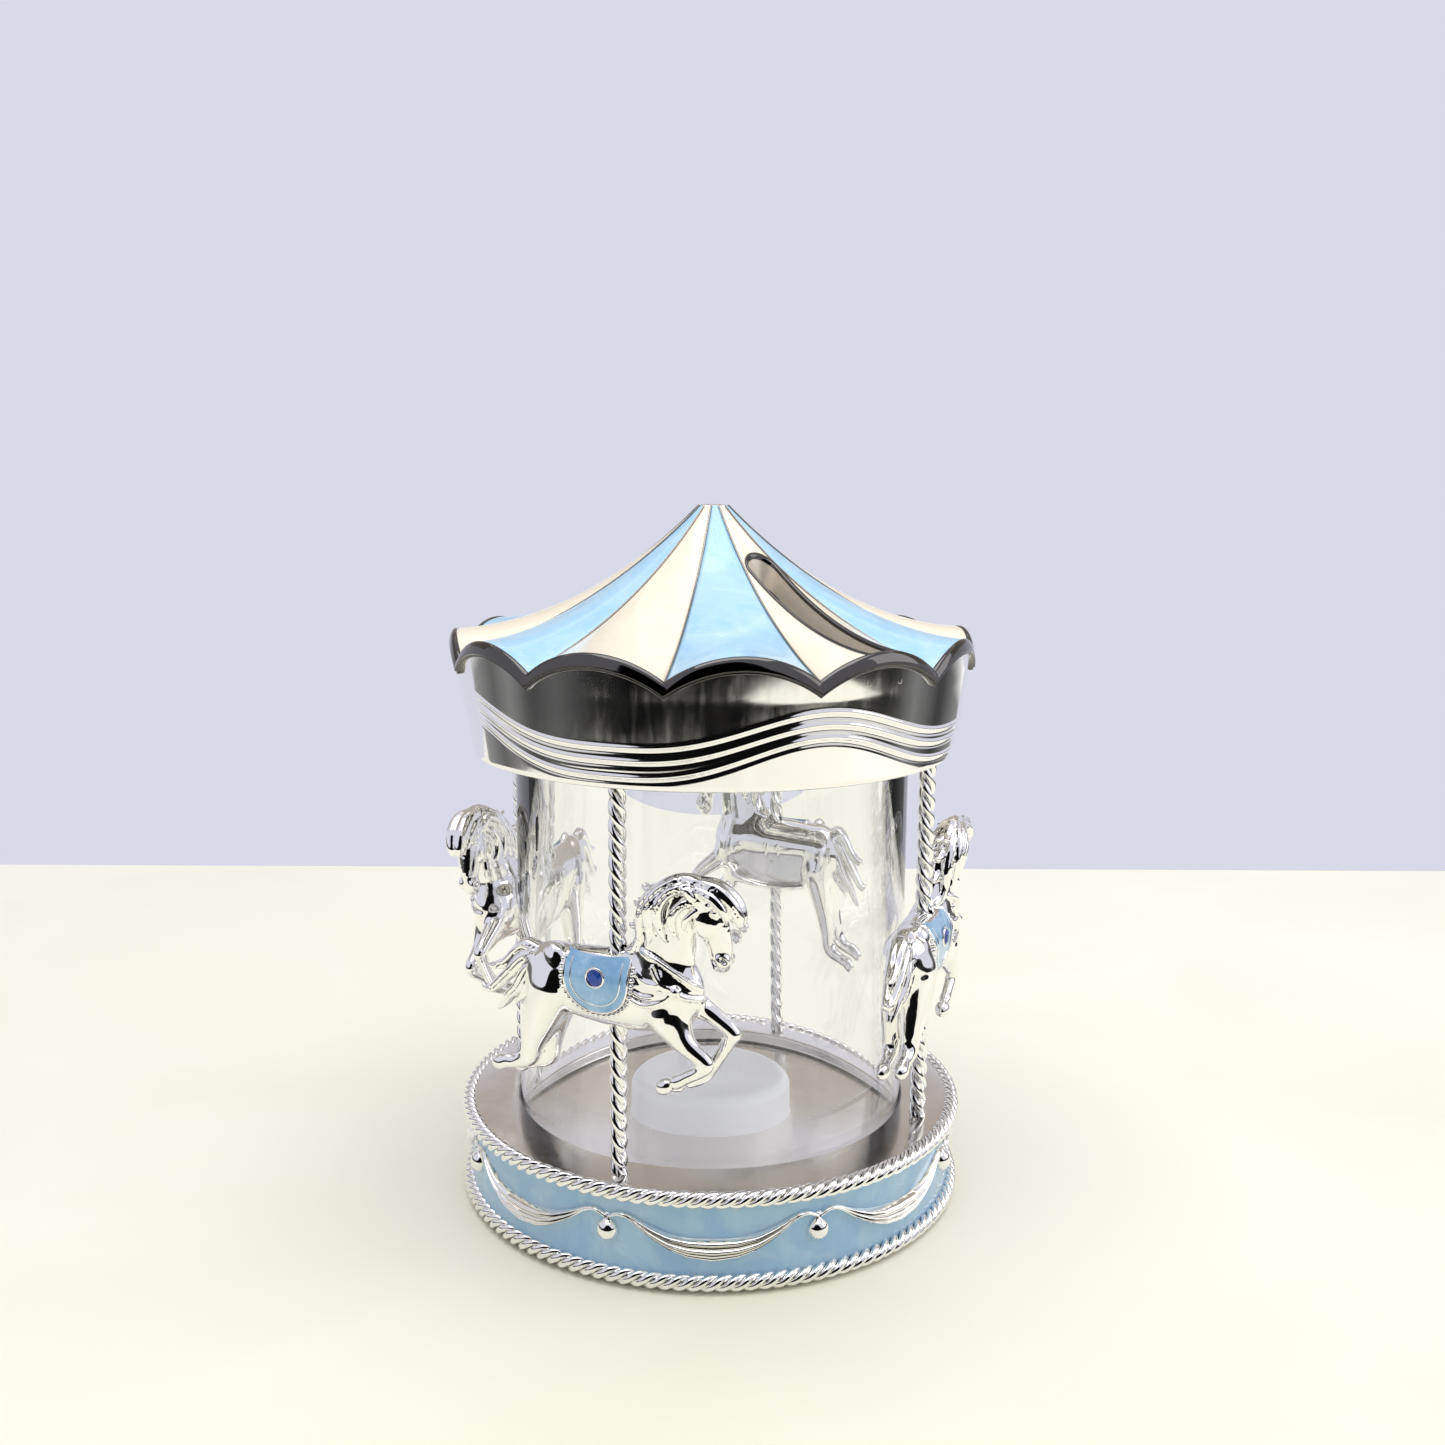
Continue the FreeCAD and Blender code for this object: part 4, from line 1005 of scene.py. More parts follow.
    def build(self, wardrobe: Wardrobe, trees: "Trees") -> None:
        """Makes every piece of the base and dresses it.

        Args:
            wardrobe: The built finishes.
            trees: The built node trees.
        """
        wardrobe.dress(self.casting(), DECK_SILVER, "base_casting")
        for index in range(4):
            angle = math.radians(45 + 90 * index)
            centre = (self.boss_ring * math.cos(angle), self.boss_ring * math.sin(angle))
            profile = [(self.boss_bore, self.boss_foot), (self.boss_radius, self.boss_foot),
                       (self.boss_radius, self.boss_top), (self.boss_bore, self.boss_top)]
            wardrobe.dress(lathe("base_boss_%d" % index, profile, 32, True, centre), DECK_SILVER)
        wardrobe.dress(self.enamel(), DRUM_PEARL, "drum_enamel")
        silver = wardrobe.material(SILVER)
        for name, height in zip(("rope_ring_lower", "rope_ring_upper"), self.rope_heights):
            rope = trees.ring.bake(name + "_twisted", {
                "Ring Radius": self.rope_ring * MM, "Height": height * MM, "Lay Radius": self.rope_lay * MM,
                "Strand Radius": self.rope_strand * MM, "Turns": self.rope_turns}, silver)
            wardrobe.dress(rope, SILVER, name)
        for name, motif, start in (("swags", self.swag_motif(), 180.0 / self.motifs),
                                   ("drum_beads", self.bead_motif(), 0.0)):
            ring = trees.copies.bake(name + "_fine", {
                "Count": self.motifs, "Start Angle": math.radians(start), "Motif": motif}, silver)
            bpy.data.objects.remove(motif)
            wardrobe.dress(ring, SILVER, name)
        wardrobe.dress_node("base_cover", COVER_PLASTIC)
        wardrobe.dress_node("base_pad", PAD_FOAM)
        wardrobe.dress_node("cover_screws", STEEL)
        wardrobe.dress_node("pole_foot_nuts", STEEL)


@dataclass
class Stopper:
    """The frosted pull-out stopper. Sizes in millimetres."""

    radius: float = 14.9
    top: float = 21.7
    edge: float = 1.2
    flange: float = 17.2
    flange_top: float = 13.12
    flange_thickness: float = 1.5
    wall: float = 2.5
    tab_thickness: float = 2.2
    tab_drop: float = 4.5
    dish: float = 0.25

    def build(self, wardrobe: Wardrobe) -> None:
        """Makes the stopper with its pull tab and dresses it.

        Args:
            wardrobe: The built finishes.
        """
        foot = self.flange_top - self.flange_thickness
        bore, ceiling = self.radius - self.wall, self.top - self.wall
        profile = [(0.0, ceiling), (bore, ceiling), (bore, foot), (self.flange, foot), (self.flange, self.flange_top),
                   (self.radius, self.flange_top), (self.radius, self.top - self.edge),
                   (self.radius - self.edge, self.top), (self.radius - 2.6, self.top),
                   (self.radius - 3.0, self.top - self.dish), (0.0, self.top - self.dish)]
        corners = {1: 0.8, 2: 0.3, 3: 0.4, 4: 0.3, 6: 0.7, 7: 0.7}
        plug = lathe("stopper_plug", rounded(profile, corners, 6), 192, False)
        half, thick = bore + 0.2, self.tab_thickness / 2
        low, high = foot - self.tab_drop, ceiling + 0.2
        outline = [(-half, high), (-half, foot + 1.0), (-half + 4.0, low + 1.2), (-half + 6.5, low),
                   (half - 6.5, low), (half - 4.0, low + 1.2), (half, foot + 1.0), (half, high)]
        outline = rounded(outline, {2: 1.4, 3: 1.2, 4: 1.2, 5: 1.4}, 6)
        sides = []
        for y, inset in ((-thick, 0.35), (-thick + 0.35, 0.0), (thick - 0.35, 0.0), (thick, 0.35)):
            sides.append([(x * (1 - inset / half), y, z + (inset if z < foot else 0.0)) for x, z in outline])
        count = len(outline)
        faces = grid_faces(4, count, False, True).tolist()
        faces += [list(range(count)), list(range(3 * count, 4 * count))]
        tab = tidy_normals(mesh_object("stopper_tab", np.array(sides).reshape(-1, 3), faces))
        # The stopper's emission is a painted glow.
        wardrobe.dress(plug, STOPPER_PAINTED_GLOW, "stopper", body=STOPPER)
        wardrobe.dress(tab, STOPPER_PAINTED_GLOW, body=STOPPER)


@dataclass
class Tube:
    """The clear coin tube and the canopy plate that seats it. Sizes in millimetres."""

    radius: float = 36.4
    wall: float = 3.0
    bottom: float = 15.2
    top: float = 93.0
    plate_bottom: float = 92.0
    plate_thickness: float = 2.5
    plate_outer: float = 44.13
    seat_radius: float = 36.5

    def build(self, wardrobe: Wardrobe) -> None:
        """Makes the tube and the plate and dresses them.

        Args:
            wardrobe: The built finishes.
        """
        inner = self.radius - self.wall
        profile = [(self.radius, self.bottom), (self.radius, self.top), (inner, self.top), (inner, self.bottom)]
        tube = lathe("coin_tube_clear", rounded(profile, {0: 0.25, 1: 0.25, 2: 0.25, 3: 0.25}, 3), 384)
        tube.visible_shadow = False
        wardrobe.dress(tube, ACRYLIC, "coin_tube")
        seat = self.top + 0.02
        plate_top = self.plate_bottom + self.plate_thickness
        plate = lathe("canopy_plate_fine", rounded([
            (inner, seat), (self.seat_radius, seat), (self.seat_radius, self.plate_bottom),
            (self.plate_outer, self.plate_bottom), (self.plate_outer, plate_top), (inner, plate_top),
        ], {2: 0.2, 3: 0.3, 4: 0.2}, 3), 256)
        wardrobe.dress(plate, DECK_SILVER, "canopy_plate")
        wardrobe.dress_node("pole_top_nuts", STEEL)
        wardrobe.dress_node("roof_screws", STEEL)


@dataclass
class Poles:
    """The four twisted poles. Sizes in millimetres."""

    ring: float = 41.0
    bottom: float = 17.2
    length: float = 74.8
    lead: float = 9.3
    lay: float = 0.83
    strand: float = 0.72
    places: tuple[tuple[str, float], ...] = (("front", 270.0), ("right", 0.0), ("back", 90.0), ("left", 180.0))

    def build(self, wardrobe: Wardrobe, trees: "Trees") -> None:
        """Makes the poles and dresses them.

        Args:
            wardrobe: The built finishes.
            trees: The built node trees.
        """
        for place, azimuth in self.places:
            angle = math.radians(azimuth)
            pole = trees.rod.bake("pole_%s_twisted" % place, {
                "X": self.ring * math.cos(angle) * MM, "Y": self.ring * math.sin(angle) * MM,
                "Bottom": self.bottom * MM, "Length": self.length * MM, "Lead": self.lead * MM,
                "Lay Radius": self.lay * MM, "Strand Radius": self.strand * MM}, wardrobe.material(SILVER))
            wardrobe.dress(pole, SILVER, "pole_" + place)


@dataclass
class RoofForm:
    """The roof's surface: twelve arched lobes between sagging seams. Sizes in millimetres."""

    lobes: int = 12
    plate_bottom: float = 92.0
    apex: tuple[float, float] = (3.0, 35.3)
    middle: tuple[float, float] = (20.0, 21.6)
    eave: tuple[float, float] = (47.5, 9.0)
    lobe_height: float = 4.3
    lobe_curve: float = 2.8
    slot_azimuth: float = -32.33

    def __post_init__(self) -> None:
        """Finds the seam line's circle."""
        (ax, az), (bx, bz), (cx, cz) = self.apex, self.middle, self.eave
        double = 2.0 * (ax * (bz - cz) + bx * (cz - az) + cx * (az - bz))
        squares = (ax ** 2 + az ** 2, bx ** 2 + bz ** 2, cx ** 2 + cz ** 2)
        self.circle_x = (squares[0] * (bz - cz) + squares[1] * (cz - az) + squares[2] * (az - bz)) / double
        self.circle_z = (squares[0] * (cx - bx) + squares[1] * (ax - cx) + squares[2] * (bx - ax)) / double
        self.circle_radius = math.hypot(ax - self.circle_x, az - self.circle_z)
        self.half_angle = math.pi / self.lobes

    def seam(self, radius: np.ndarray) -> np.ndarray:
        """Height of a seam at a distance from the axis."""
        drop = np.sqrt(np.maximum(self.circle_radius ** 2 - (radius - self.circle_x) ** 2, 0.0))
        return self.plate_bottom + self.circle_z - drop

    def surface(self, x: np.ndarray, y: np.ndarray) -> np.ndarray:
        """Height of a lobe that runs along +X, at x along it and y across it.

        Args:
            x: Places along the lobe.
            y: Places across it.

        Returns:
            The heights.
        """
        x = np.maximum(x, 0.5)
        half = x * math.tan(self.half_angle)
        crest = self.seam(x) + self.lobe_height * (x / self.eave[0]) ** self.lobe_curve
        arch = crest - self.seam(x / math.cos(self.half_angle))
        arch_radius = (half ** 2 + arch ** 2) / (2.0 * arch)
        return crest - arch_radius + np.sqrt(np.maximum(arch_radius ** 2 - y ** 2, 0.0))

    def edge_height(self, angle: np.ndarray, radius: float) -> np.ndarray:
        """Height of the surface round a circle, at angles from the slot lobe's middle.

        Args:
            angle: Angles in radians.
            radius: The circle's radius.

        Returns:
            The heights.
        """
        step = 2.0 * self.half_angle
        local = (angle + self.half_angle) % step - self.half_angle
        return self.surface(radius * np.cos(local), radius * np.sin(local))


@dataclass
class Roof:
    """The cast roof with its scalloped rim, seams, slot and enamel panels. Sizes in millimetres."""

    form: RoofForm = field(default_factory=RoofForm)
    rim_inner: float = 46.6
    shell: float = 2.0
    panel: float = 0.5
    panel_sink: float = 0.16
    panel_border: float = 0.3
    shell_gap: float = 0.05
    seam_half_width: float = 0.12
    seam_wire: float = 0.17
    slot_half: float = 2.9
    slot_centre: float = 15.3
    slot_frame: float = 0.5
    slot_depth: float = 5.0
    frame_spread: float = 1.9
    cap_hole: float = 2.8

    def lobe_sheet(self, drop: float, low: float, high: float, side_margin: float, rows: int = 70,
                   columns: int = 33) -> np.ndarray:
        """A grid over one whole lobe on +X, from radius low to high.

        Args:
            drop: How far the sheet lies below the outer surface.
            low: The smaller radius.
            high: The larger radius.
            side_margin: Gap kept beside each seam.
            rows: Places along the lobe.
            columns: Places across the lobe.

        Returns:
            A rows by columns by 3 array.
        """
        radius = np.linspace(low, high, rows)[:, None]
        across = np.sin(np.linspace(-1, 1, columns) * math.pi / 2)[None, :]
        angle = across * (self.form.half_angle - side_margin / radius)
        x, y = radius * np.cos(angle), radius * np.sin(angle)
        return np.stack([x, y, self.form.surface(x, y) - drop], axis=2)

    def slot_angle(self, radius: np.ndarray, half: float) -> np.ndarray:
        """Angle from the slot's middle to the edge of an opening half as wide as given, at each radius.

        Args:
            radius: Distances from the axis.
            half: Half of the opening's width.

        Returns:
            The angles in radians.
        """
        start = self.slot_centre - half
        straight = np.arcsin(np.clip(half / radius, -1, 1))
        cosine = (radius ** 2 + self.slot_centre ** 2 - half ** 2) / (2 * radius * self.slot_centre)
        curved = np.arccos(np.clip(cosine, -1, 1))
        angle = np.where(radius * np.cos(straight) >= self.slot_centre, straight, curved)
        return np.where(radius <= start, 0.0, angle)

    def side_sheet(self, drop: float, low: float, high: float, side_margin: float, half: float, side: int,
                   columns: int = 17) -> np.ndarray:
        """A grid over the part of the slot lobe on one side of the slot.

        Args:
            drop: How far the sheet lies below the outer surface.
            low: The smaller radius.
            high: The larger radius.
            side_margin: Gap kept beside each seam.
            half: Half of the opening's width.
            side: 1 or -1, the side of the slot.
            columns: Places across the lobe.

        Returns:
            A grid of places.
        """
        start = self.slot_centre - half
        bend = start + (math.hypot(self.slot_centre, half) - start) * (1 - np.cos(np.linspace(0, math.pi / 2, 18)))
        radii = np.concatenate([np.linspace(low, start, 12)[:-1], bend, np.linspace(bend[-1], high, 56)[1:]])
        radius = radii[:, None]
        share = (0.5 - 0.5 * np.cos(np.linspace(0, math.pi, columns)))[None, :]
        inner = self.slot_angle(radius, half)
        outer = self.form.half_angle - side_margin / radius
        angle = inner + np.maximum(outer - inner, 0.0005) * share
        x, y = radius * np.cos(angle), radius * np.sin(angle)
        sheet = np.stack([x, y * side, self.form.surface(x, y) - drop], axis=2)
        return sheet if side > 0 else sheet[:, ::-1]

    def pillowed(self, sheet: np.ndarray) -> np.ndarray:
        """A sheet whose borders sink a little, as fired enamel does beside its metal.

        Args:
            sheet: The grid of places.

        Returns:
            The same grid with its borders lower.
        """
        result = sheet.copy()
        across = np.linalg.norm(sheet[:, :, :2] - sheet[:, :1, :2], axis=2)
        back = np.linalg.norm(sheet[:, :, :2] - sheet[:, -1:, :2], axis=2)
        near = np.minimum(across, back)
        radius = np.hypot(sheet[:, :, 0], sheet[:, :, 1])
        near = np.minimum(near, np.abs(radius - self.rim_inner) + 0.05)
        result[:, :, 2] -= self.panel_sink * np.exp(-(near / self.panel_border) ** 2)
        return result

    def enamel(self, name: str, first: int) -> bpy.types.Object:
        """Every second lobe's enamel panel as one piece.

        Args:
            name: The new object's name.
            first: Number of the first lobe.

        Returns:
            The panels.
        """
        parts = []
        margin, low, high = self.seam_half_width, self.cap_hole - 0.15, self.rim_inner
        for lobe in range(first, self.form.lobes, 2):
            azimuth = self.form.slot_azimuth + lobe * 360.0 / self.form.lobes
            if lobe:
                sheets = [self.lobe_sheet(0.0, low, high, margin)]
            else:
                half = self.slot_half + self.slot_frame
                sheets = [self.side_sheet(0.0, low, high, margin, half, side) for side in (1, -1)]
            for sheet in sheets:
                top = self.pillowed(sheet)
                bottom = sheet - np.array([0.0, 0.0, self.panel])
                points, faces = plate_between(top, bottom)
                parts.append((turned(points, azimuth), faces))
        points, faces = join_arrays(parts)
        return tidy_normals(mesh_object(name, points, faces, 50.0), 2e-6)

    def cast_shell(self) -> tuple[np.ndarray, np.ndarray]:
        """The cast skin under the enamel.

        Returns:
            Points and faces.
        """
        parts = []
        low, high = self.cap_hole - 0.3, self.rim_inner + 0.3
        drops = (self.panel - self.shell_gap, self.shell)
        for lobe in range(self.form.lobes):
            azimuth = self.form.slot_azimuth + lobe * 360.0 / self.form.lobes
            if lobe:
                pairs = [[self.lobe_sheet(drop, low, high, 0.0, 50, 21) for drop in drops]]
            else:
                pairs = [[self.side_sheet(drop, low, high, 0.0, self.slot_half + 0.1, side) for drop in drops]
                         for side in (1, -1)]
            for top, bottom in pairs:
                points, faces = plate_between(top, bottom)
                parts.append((turned(points, azimuth), faces))
        return join_arrays(parts)

    def rim(self) -> tuple[np.ndarray, np.ndarray]:
        """The half-round rim that follows the scallops, with a thin lip below it.

        Returns:
            Points and faces.
        """
        profile = [(46.3, -0.35), (46.45, -0.08), (46.6, 0.06), (46.8, 0.12), (47.02, 0.06), (47.24, -0.1),
                   (47.44, -0.36), (47.6, -0.7), (47.72, -1.1), (47.81, -1.5), (47.86, -1.85), (47.84, -2.02),
                   (47.7, -2.14), (47.5, -2.2), (47.46, -2.28), (47.5, -2.38), (47.48, -2.5), (47.36, -2.6),
                   (46.9, -2.62), (46.45, -2.55), (46.3, -1.4)]
        per_lobe = 44
        count = self.form.lobes * per_lobe
        step = TURN / self.form.lobes
        share = np.linspace(-0.5, 0.5, per_lobe + 1)[:-1]
        angles = np.concatenate([(lobe + share) * step for lobe in range(self.form.lobes)])
        edge = self.form.edge_height(angles, self.rim_inner)
        places = np.array(profile)
        radius = places[:, 0][None, :]
        x, y = radius * np.cos(angles)[:, None], radius * np.sin(angles)[:, None]
        z = edge[:, None] + places[:, 1][None, :]
        points = np.stack([x, y, z], axis=2).reshape(-1, 3)
        return turned(points, self.form.slot_azimuth), grid_faces(count, len(profile), True, True)

    def slot_sweep(self, profile: np.ndarray, spread: float = 1.0) -> tuple[np.ndarray, np.ndarray]:
        """A section of (outwards, up) places swept along the slot's edge.

        Args:
            profile: The section.
            spread: How many times wider the section is on the far side.

        Returns:
            Points and faces.
        """
        straight = np.linspace(self.rim_inner + 0.2, self.slot_centre, 60)
        around = np.linspace(math.pi / 2, 3 * math.pi / 2, 33)
        path = [(x, self.slot_half, 0.0, spread) for x in straight[:-1]]
        for angle in around:
            c, s = math.cos(angle), math.sin(angle)
            grow = 1.0 + (spread - 1.0) * max(s, 0.0)
            path.append((self.slot_centre + self.slot_half * c, self.slot_half * s, c * grow, s * grow))
        path += [(x, -self.slot_half, 0.0, -1.0) for x in straight[::-1][1:]]
        route = np.array(path)
        out = profile[:, 0][None, :]
        x = route[:, 0][:, None] + route[:, 2][:, None] * out
        y = route[:, 1][:, None] + route[:, 3][:, None] * out
        z = self.form.surface(x, y) + profile[:, 1][None, :]
        points = np.stack([x, y, z], axis=2).reshape(-1, 3)
        return turned(points, self.form.slot_azimuth), grid_faces(len(route), len(profile), False, True)

    def slot_frame_section(self) -> np.ndarray:
        """The rounded silver edge that stands round the slot.

        Returns:
            The section's (outwards, up) places.
        """
        wide = self.slot_frame
        return np.array([(wide + 0.08, -0.35), (wide + 0.05, 0.0), (wide - 0.02, 0.1), (wide * 0.7, 0.17),
                         (wide * 0.35, 0.14), (0.06, 0.04), (0.0, -0.12), (0.0, -0.7), (0.3, -0.7)])

    def slot_wall_section(self) -> np.ndarray:
        """The deep wall round the slot, below its edge."""
        return np.array([(0.05, -0.5), (0.03, -self.slot_depth), (0.15, -self.slot_depth - 0.12),
                         (0.8, -self.slot_depth), (0.85, -0.9)])

    def finial_cap(self) -> bpy.types.Object:
        """The small domed cap whose edge is scalloped between the seams.

        Returns:
            The cap.
        """
        columns, step = self.form.lobes * 12, TURN / self.form.lobes
        angles = np.arange(columns) * TURN / columns
        wave = np.abs(np.cos((angles / step) * math.pi)) ** 0.6
        profile = [(0.0, 127.8), (0.8, 127.8), (1.5, 127.76), (2.1, 127.68), (2.5, 127.52), (2.72, 127.25),
                   (2.75, 127.05), (2.6, 126.9), (1.6, 126.9), (1.6, 124.6), (0.0, 124.6)]
        rows = []
        for radius, height in profile:
            outer = min(1.0, max(0.0, (radius - 1.6) / 0.9))
            reach = radius - 0.28 * outer * (1.0 - wave)
            rise = height - 0.1 * outer * (1.0 - wave) + 0.08 * math.exp(-((radius - 1.7) / 0.5) ** 2) * (height > 127)
            rows.append(np.stack([reach * np.cos(angles), reach * np.sin(angles), np.zeros(columns) + rise], axis=1))
        points = turned(np.concatenate(rows), self.form.slot_azimuth)
        cap = mesh_object("finial_cap_fine", points, grid_faces(len(profile), columns, False, True))
        return tidy_normals(cap, 1e-6)

    def build(self, wardrobe: Wardrobe, trees: "Trees") -> None:
        """Makes every piece of the roof and dresses it.

        Args:
            wardrobe: The built finishes.
            trees: The built node trees.
        """
        for name, (points, faces), sharp, finish, *stands_for in (
                ("roof_shell_fine", self.cast_shell(), 38.0, SILVER, "roof_shell"),
                # The rim and the slot frame are near black: painted dark reflection.
                ("roof_rim", self.rim(), 38.0, DARK_REFLECTION_PLATING),
                ("slot_frame", self.slot_sweep(self.slot_frame_section(), self.frame_spread), 60.0, DARK_REFLECTION_PLATING),
                # The slot walls' beige plating is painted light inside the slot.
                ("slot_walls", self.slot_sweep(self.slot_wall_section()), 38.0, SLOT_PAINTED_LIGHT)):
            wardrobe.dress(tidy_normals(mesh_object(name, points, faces, sharp), 1e-6), finish, *stands_for)
        wardrobe.dress(self.enamel("roof_panels_cream_fine", 0), ROOF_CREAM, "roof_panels_cream")
        wardrobe.dress(self.enamel("roof_panels_blue_fine", 1), ROOF_BLUE, "roof_panels_blue")
        angle = math.radians(self.form.slot_azimuth) + self.form.half_angle
        radius = np.linspace(self.cap_hole - 0.1, self.rim_inner + 0.1, 120)
        seam = np.stack([radius, radius * 0.0, self.form.seam(radius) + 0.03], axis=1)
        line = line_object("seam_line", seam)
        # The seam wires take the darker plating: painted dark reflection.
        wires = trees.wire.bake("roof_seams", {"Line": line, "Wire Radius": self.seam_wire * MM,
                                               "Count": self.form.lobes, "Start Angle": angle},
                                wardrobe.material(SEAM_PAINTED_DARK))
        bpy.data.objects.remove(line)
        wardrobe.dress(wires, SEAM_PAINTED_DARK)
        wardrobe.dress(self.finial_cap(), SILVER, "finial_cap")


@dataclass
class Band:
    """The fascia band with three draped ridges and a rolled lower edge. Sizes in millimetres."""

    form: RoofForm = field(default_factory=RoofForm)
    low: float = 83.5
    slope: float = 0.13
    slope_height: float = 98.0
    slope_radius: float = 46.5
    wall: float = 1.1
    step: float = 0.2
    ridge_heights: tuple[float, float, float] = (90.3, 88.1, 85.4)
    ridge_swells: tuple[float, float, float] = (5.7, 5.8, 6.4)
    wave_power: float = 1.7
    lip: float = 0.45
    rim_inner: float = 46.6
    tuck: float = 1.3
    foot: float = 1.4
    inner_level: float = 84.0
    columns: int = 576

    def ridge(self, index: int, angle: np.ndarray) -> np.ndarray:
        """Height of one ridge line round the band."""
        swell = ((1.0 - np.cos(4.0 * angle)) / 2.0) ** self.wave_power
        return self.ridge_heights[index] + self.ridge_swells[index] * swell

    def outside(self, angle: np.ndarray, height: np.ndarray) -> np.ndarray:
        """Outside radius of the band at an angle and height.

        Args:
            angle: Angles in radians.
            height: Heights.

        Returns:
            The radii.
        """
        radius = self.slope_radius - self.slope * (self.slope_height - height)
        radius += 0.03 * np.maximum(height - self.slope_height, 0.0)
        for index in range(len(self.ridge_heights)):
            above = height - self.ridge(index, angle)
            radius -= self.step * (1.0 - smoothstep(-0.35, 0.12, above))
            radius += 0.17 * np.exp(-((above - 0.3) / 0.34) ** 2)
            radius -= 0.1 * np.exp(-((above + 0.55) / 0.4) ** 2)
        return radius

    def build(self, wardrobe: Wardrobe) -> None:
        """Makes the band and dresses it.

        Args:
            wardrobe: The built finishes.
        """
        angles = np.arange(self.columns) * TURN / self.columns
        slot = math.radians(self.form.slot_azimuth)
        top = self.form.edge_height(angles - slot, self.rim_inner) - self.tuck
        split = self.ridge(0, angles) + 1.2
        lower = np.linspace(0.0, 1.0, 92)[None, :]
        upper = np.linspace(0.0, 1.0, 16)[None, 1:]
        start = self.low + 2 * self.lip
        height = np.concatenate([start + (split - start)[:, None] * lower,
                                 split[:, None] + (top - split)[:, None] * upper], axis=1)
        radius = self.outside(angles[:, None], height)
        base = radius[:, 0]
        turns = np.radians(np.linspace(100, 330, 12))[None, :]
        lip_radius = (base - self.lip)[:, None] - 0.1 + self.lip * np.sin(turns)
        lip_height = self.low + self.lip + self.lip * np.cos(turns) + np.zeros_like(lip_radius)
        inner_height = np.concatenate([top[:, None], np.full((self.columns, 1), self.low + self.foot)], axis=1)
        inner_radius = self.outside(angles[:, None], np.full_like(inner_height, self.inner_level)) - self.wall
        inner_radius[:, 0] = self.slope_radius - self.wall - 0.2
        order_radius = np.concatenate([radius, inner_radius, lip_radius[:, ::-1]], axis=1)
        order_height = np.concatenate([height, inner_height, lip_height[:, ::-1]], axis=1)
        c, s = np.cos(angles)[:, None], np.sin(angles)[:, None]
        points = np.stack([order_radius * c, order_radius * s, order_height], axis=2).reshape(-1, 3)
        faces = grid_faces(self.columns, order_radius.shape[1], True, True)
        band = tidy_normals(mesh_object("apron_band_fine", points, faces, 60.0))
        wardrobe.dress(band, BAND_SILVER, "apron_band")


# ---------------------------------------------------------------- sculpted horses


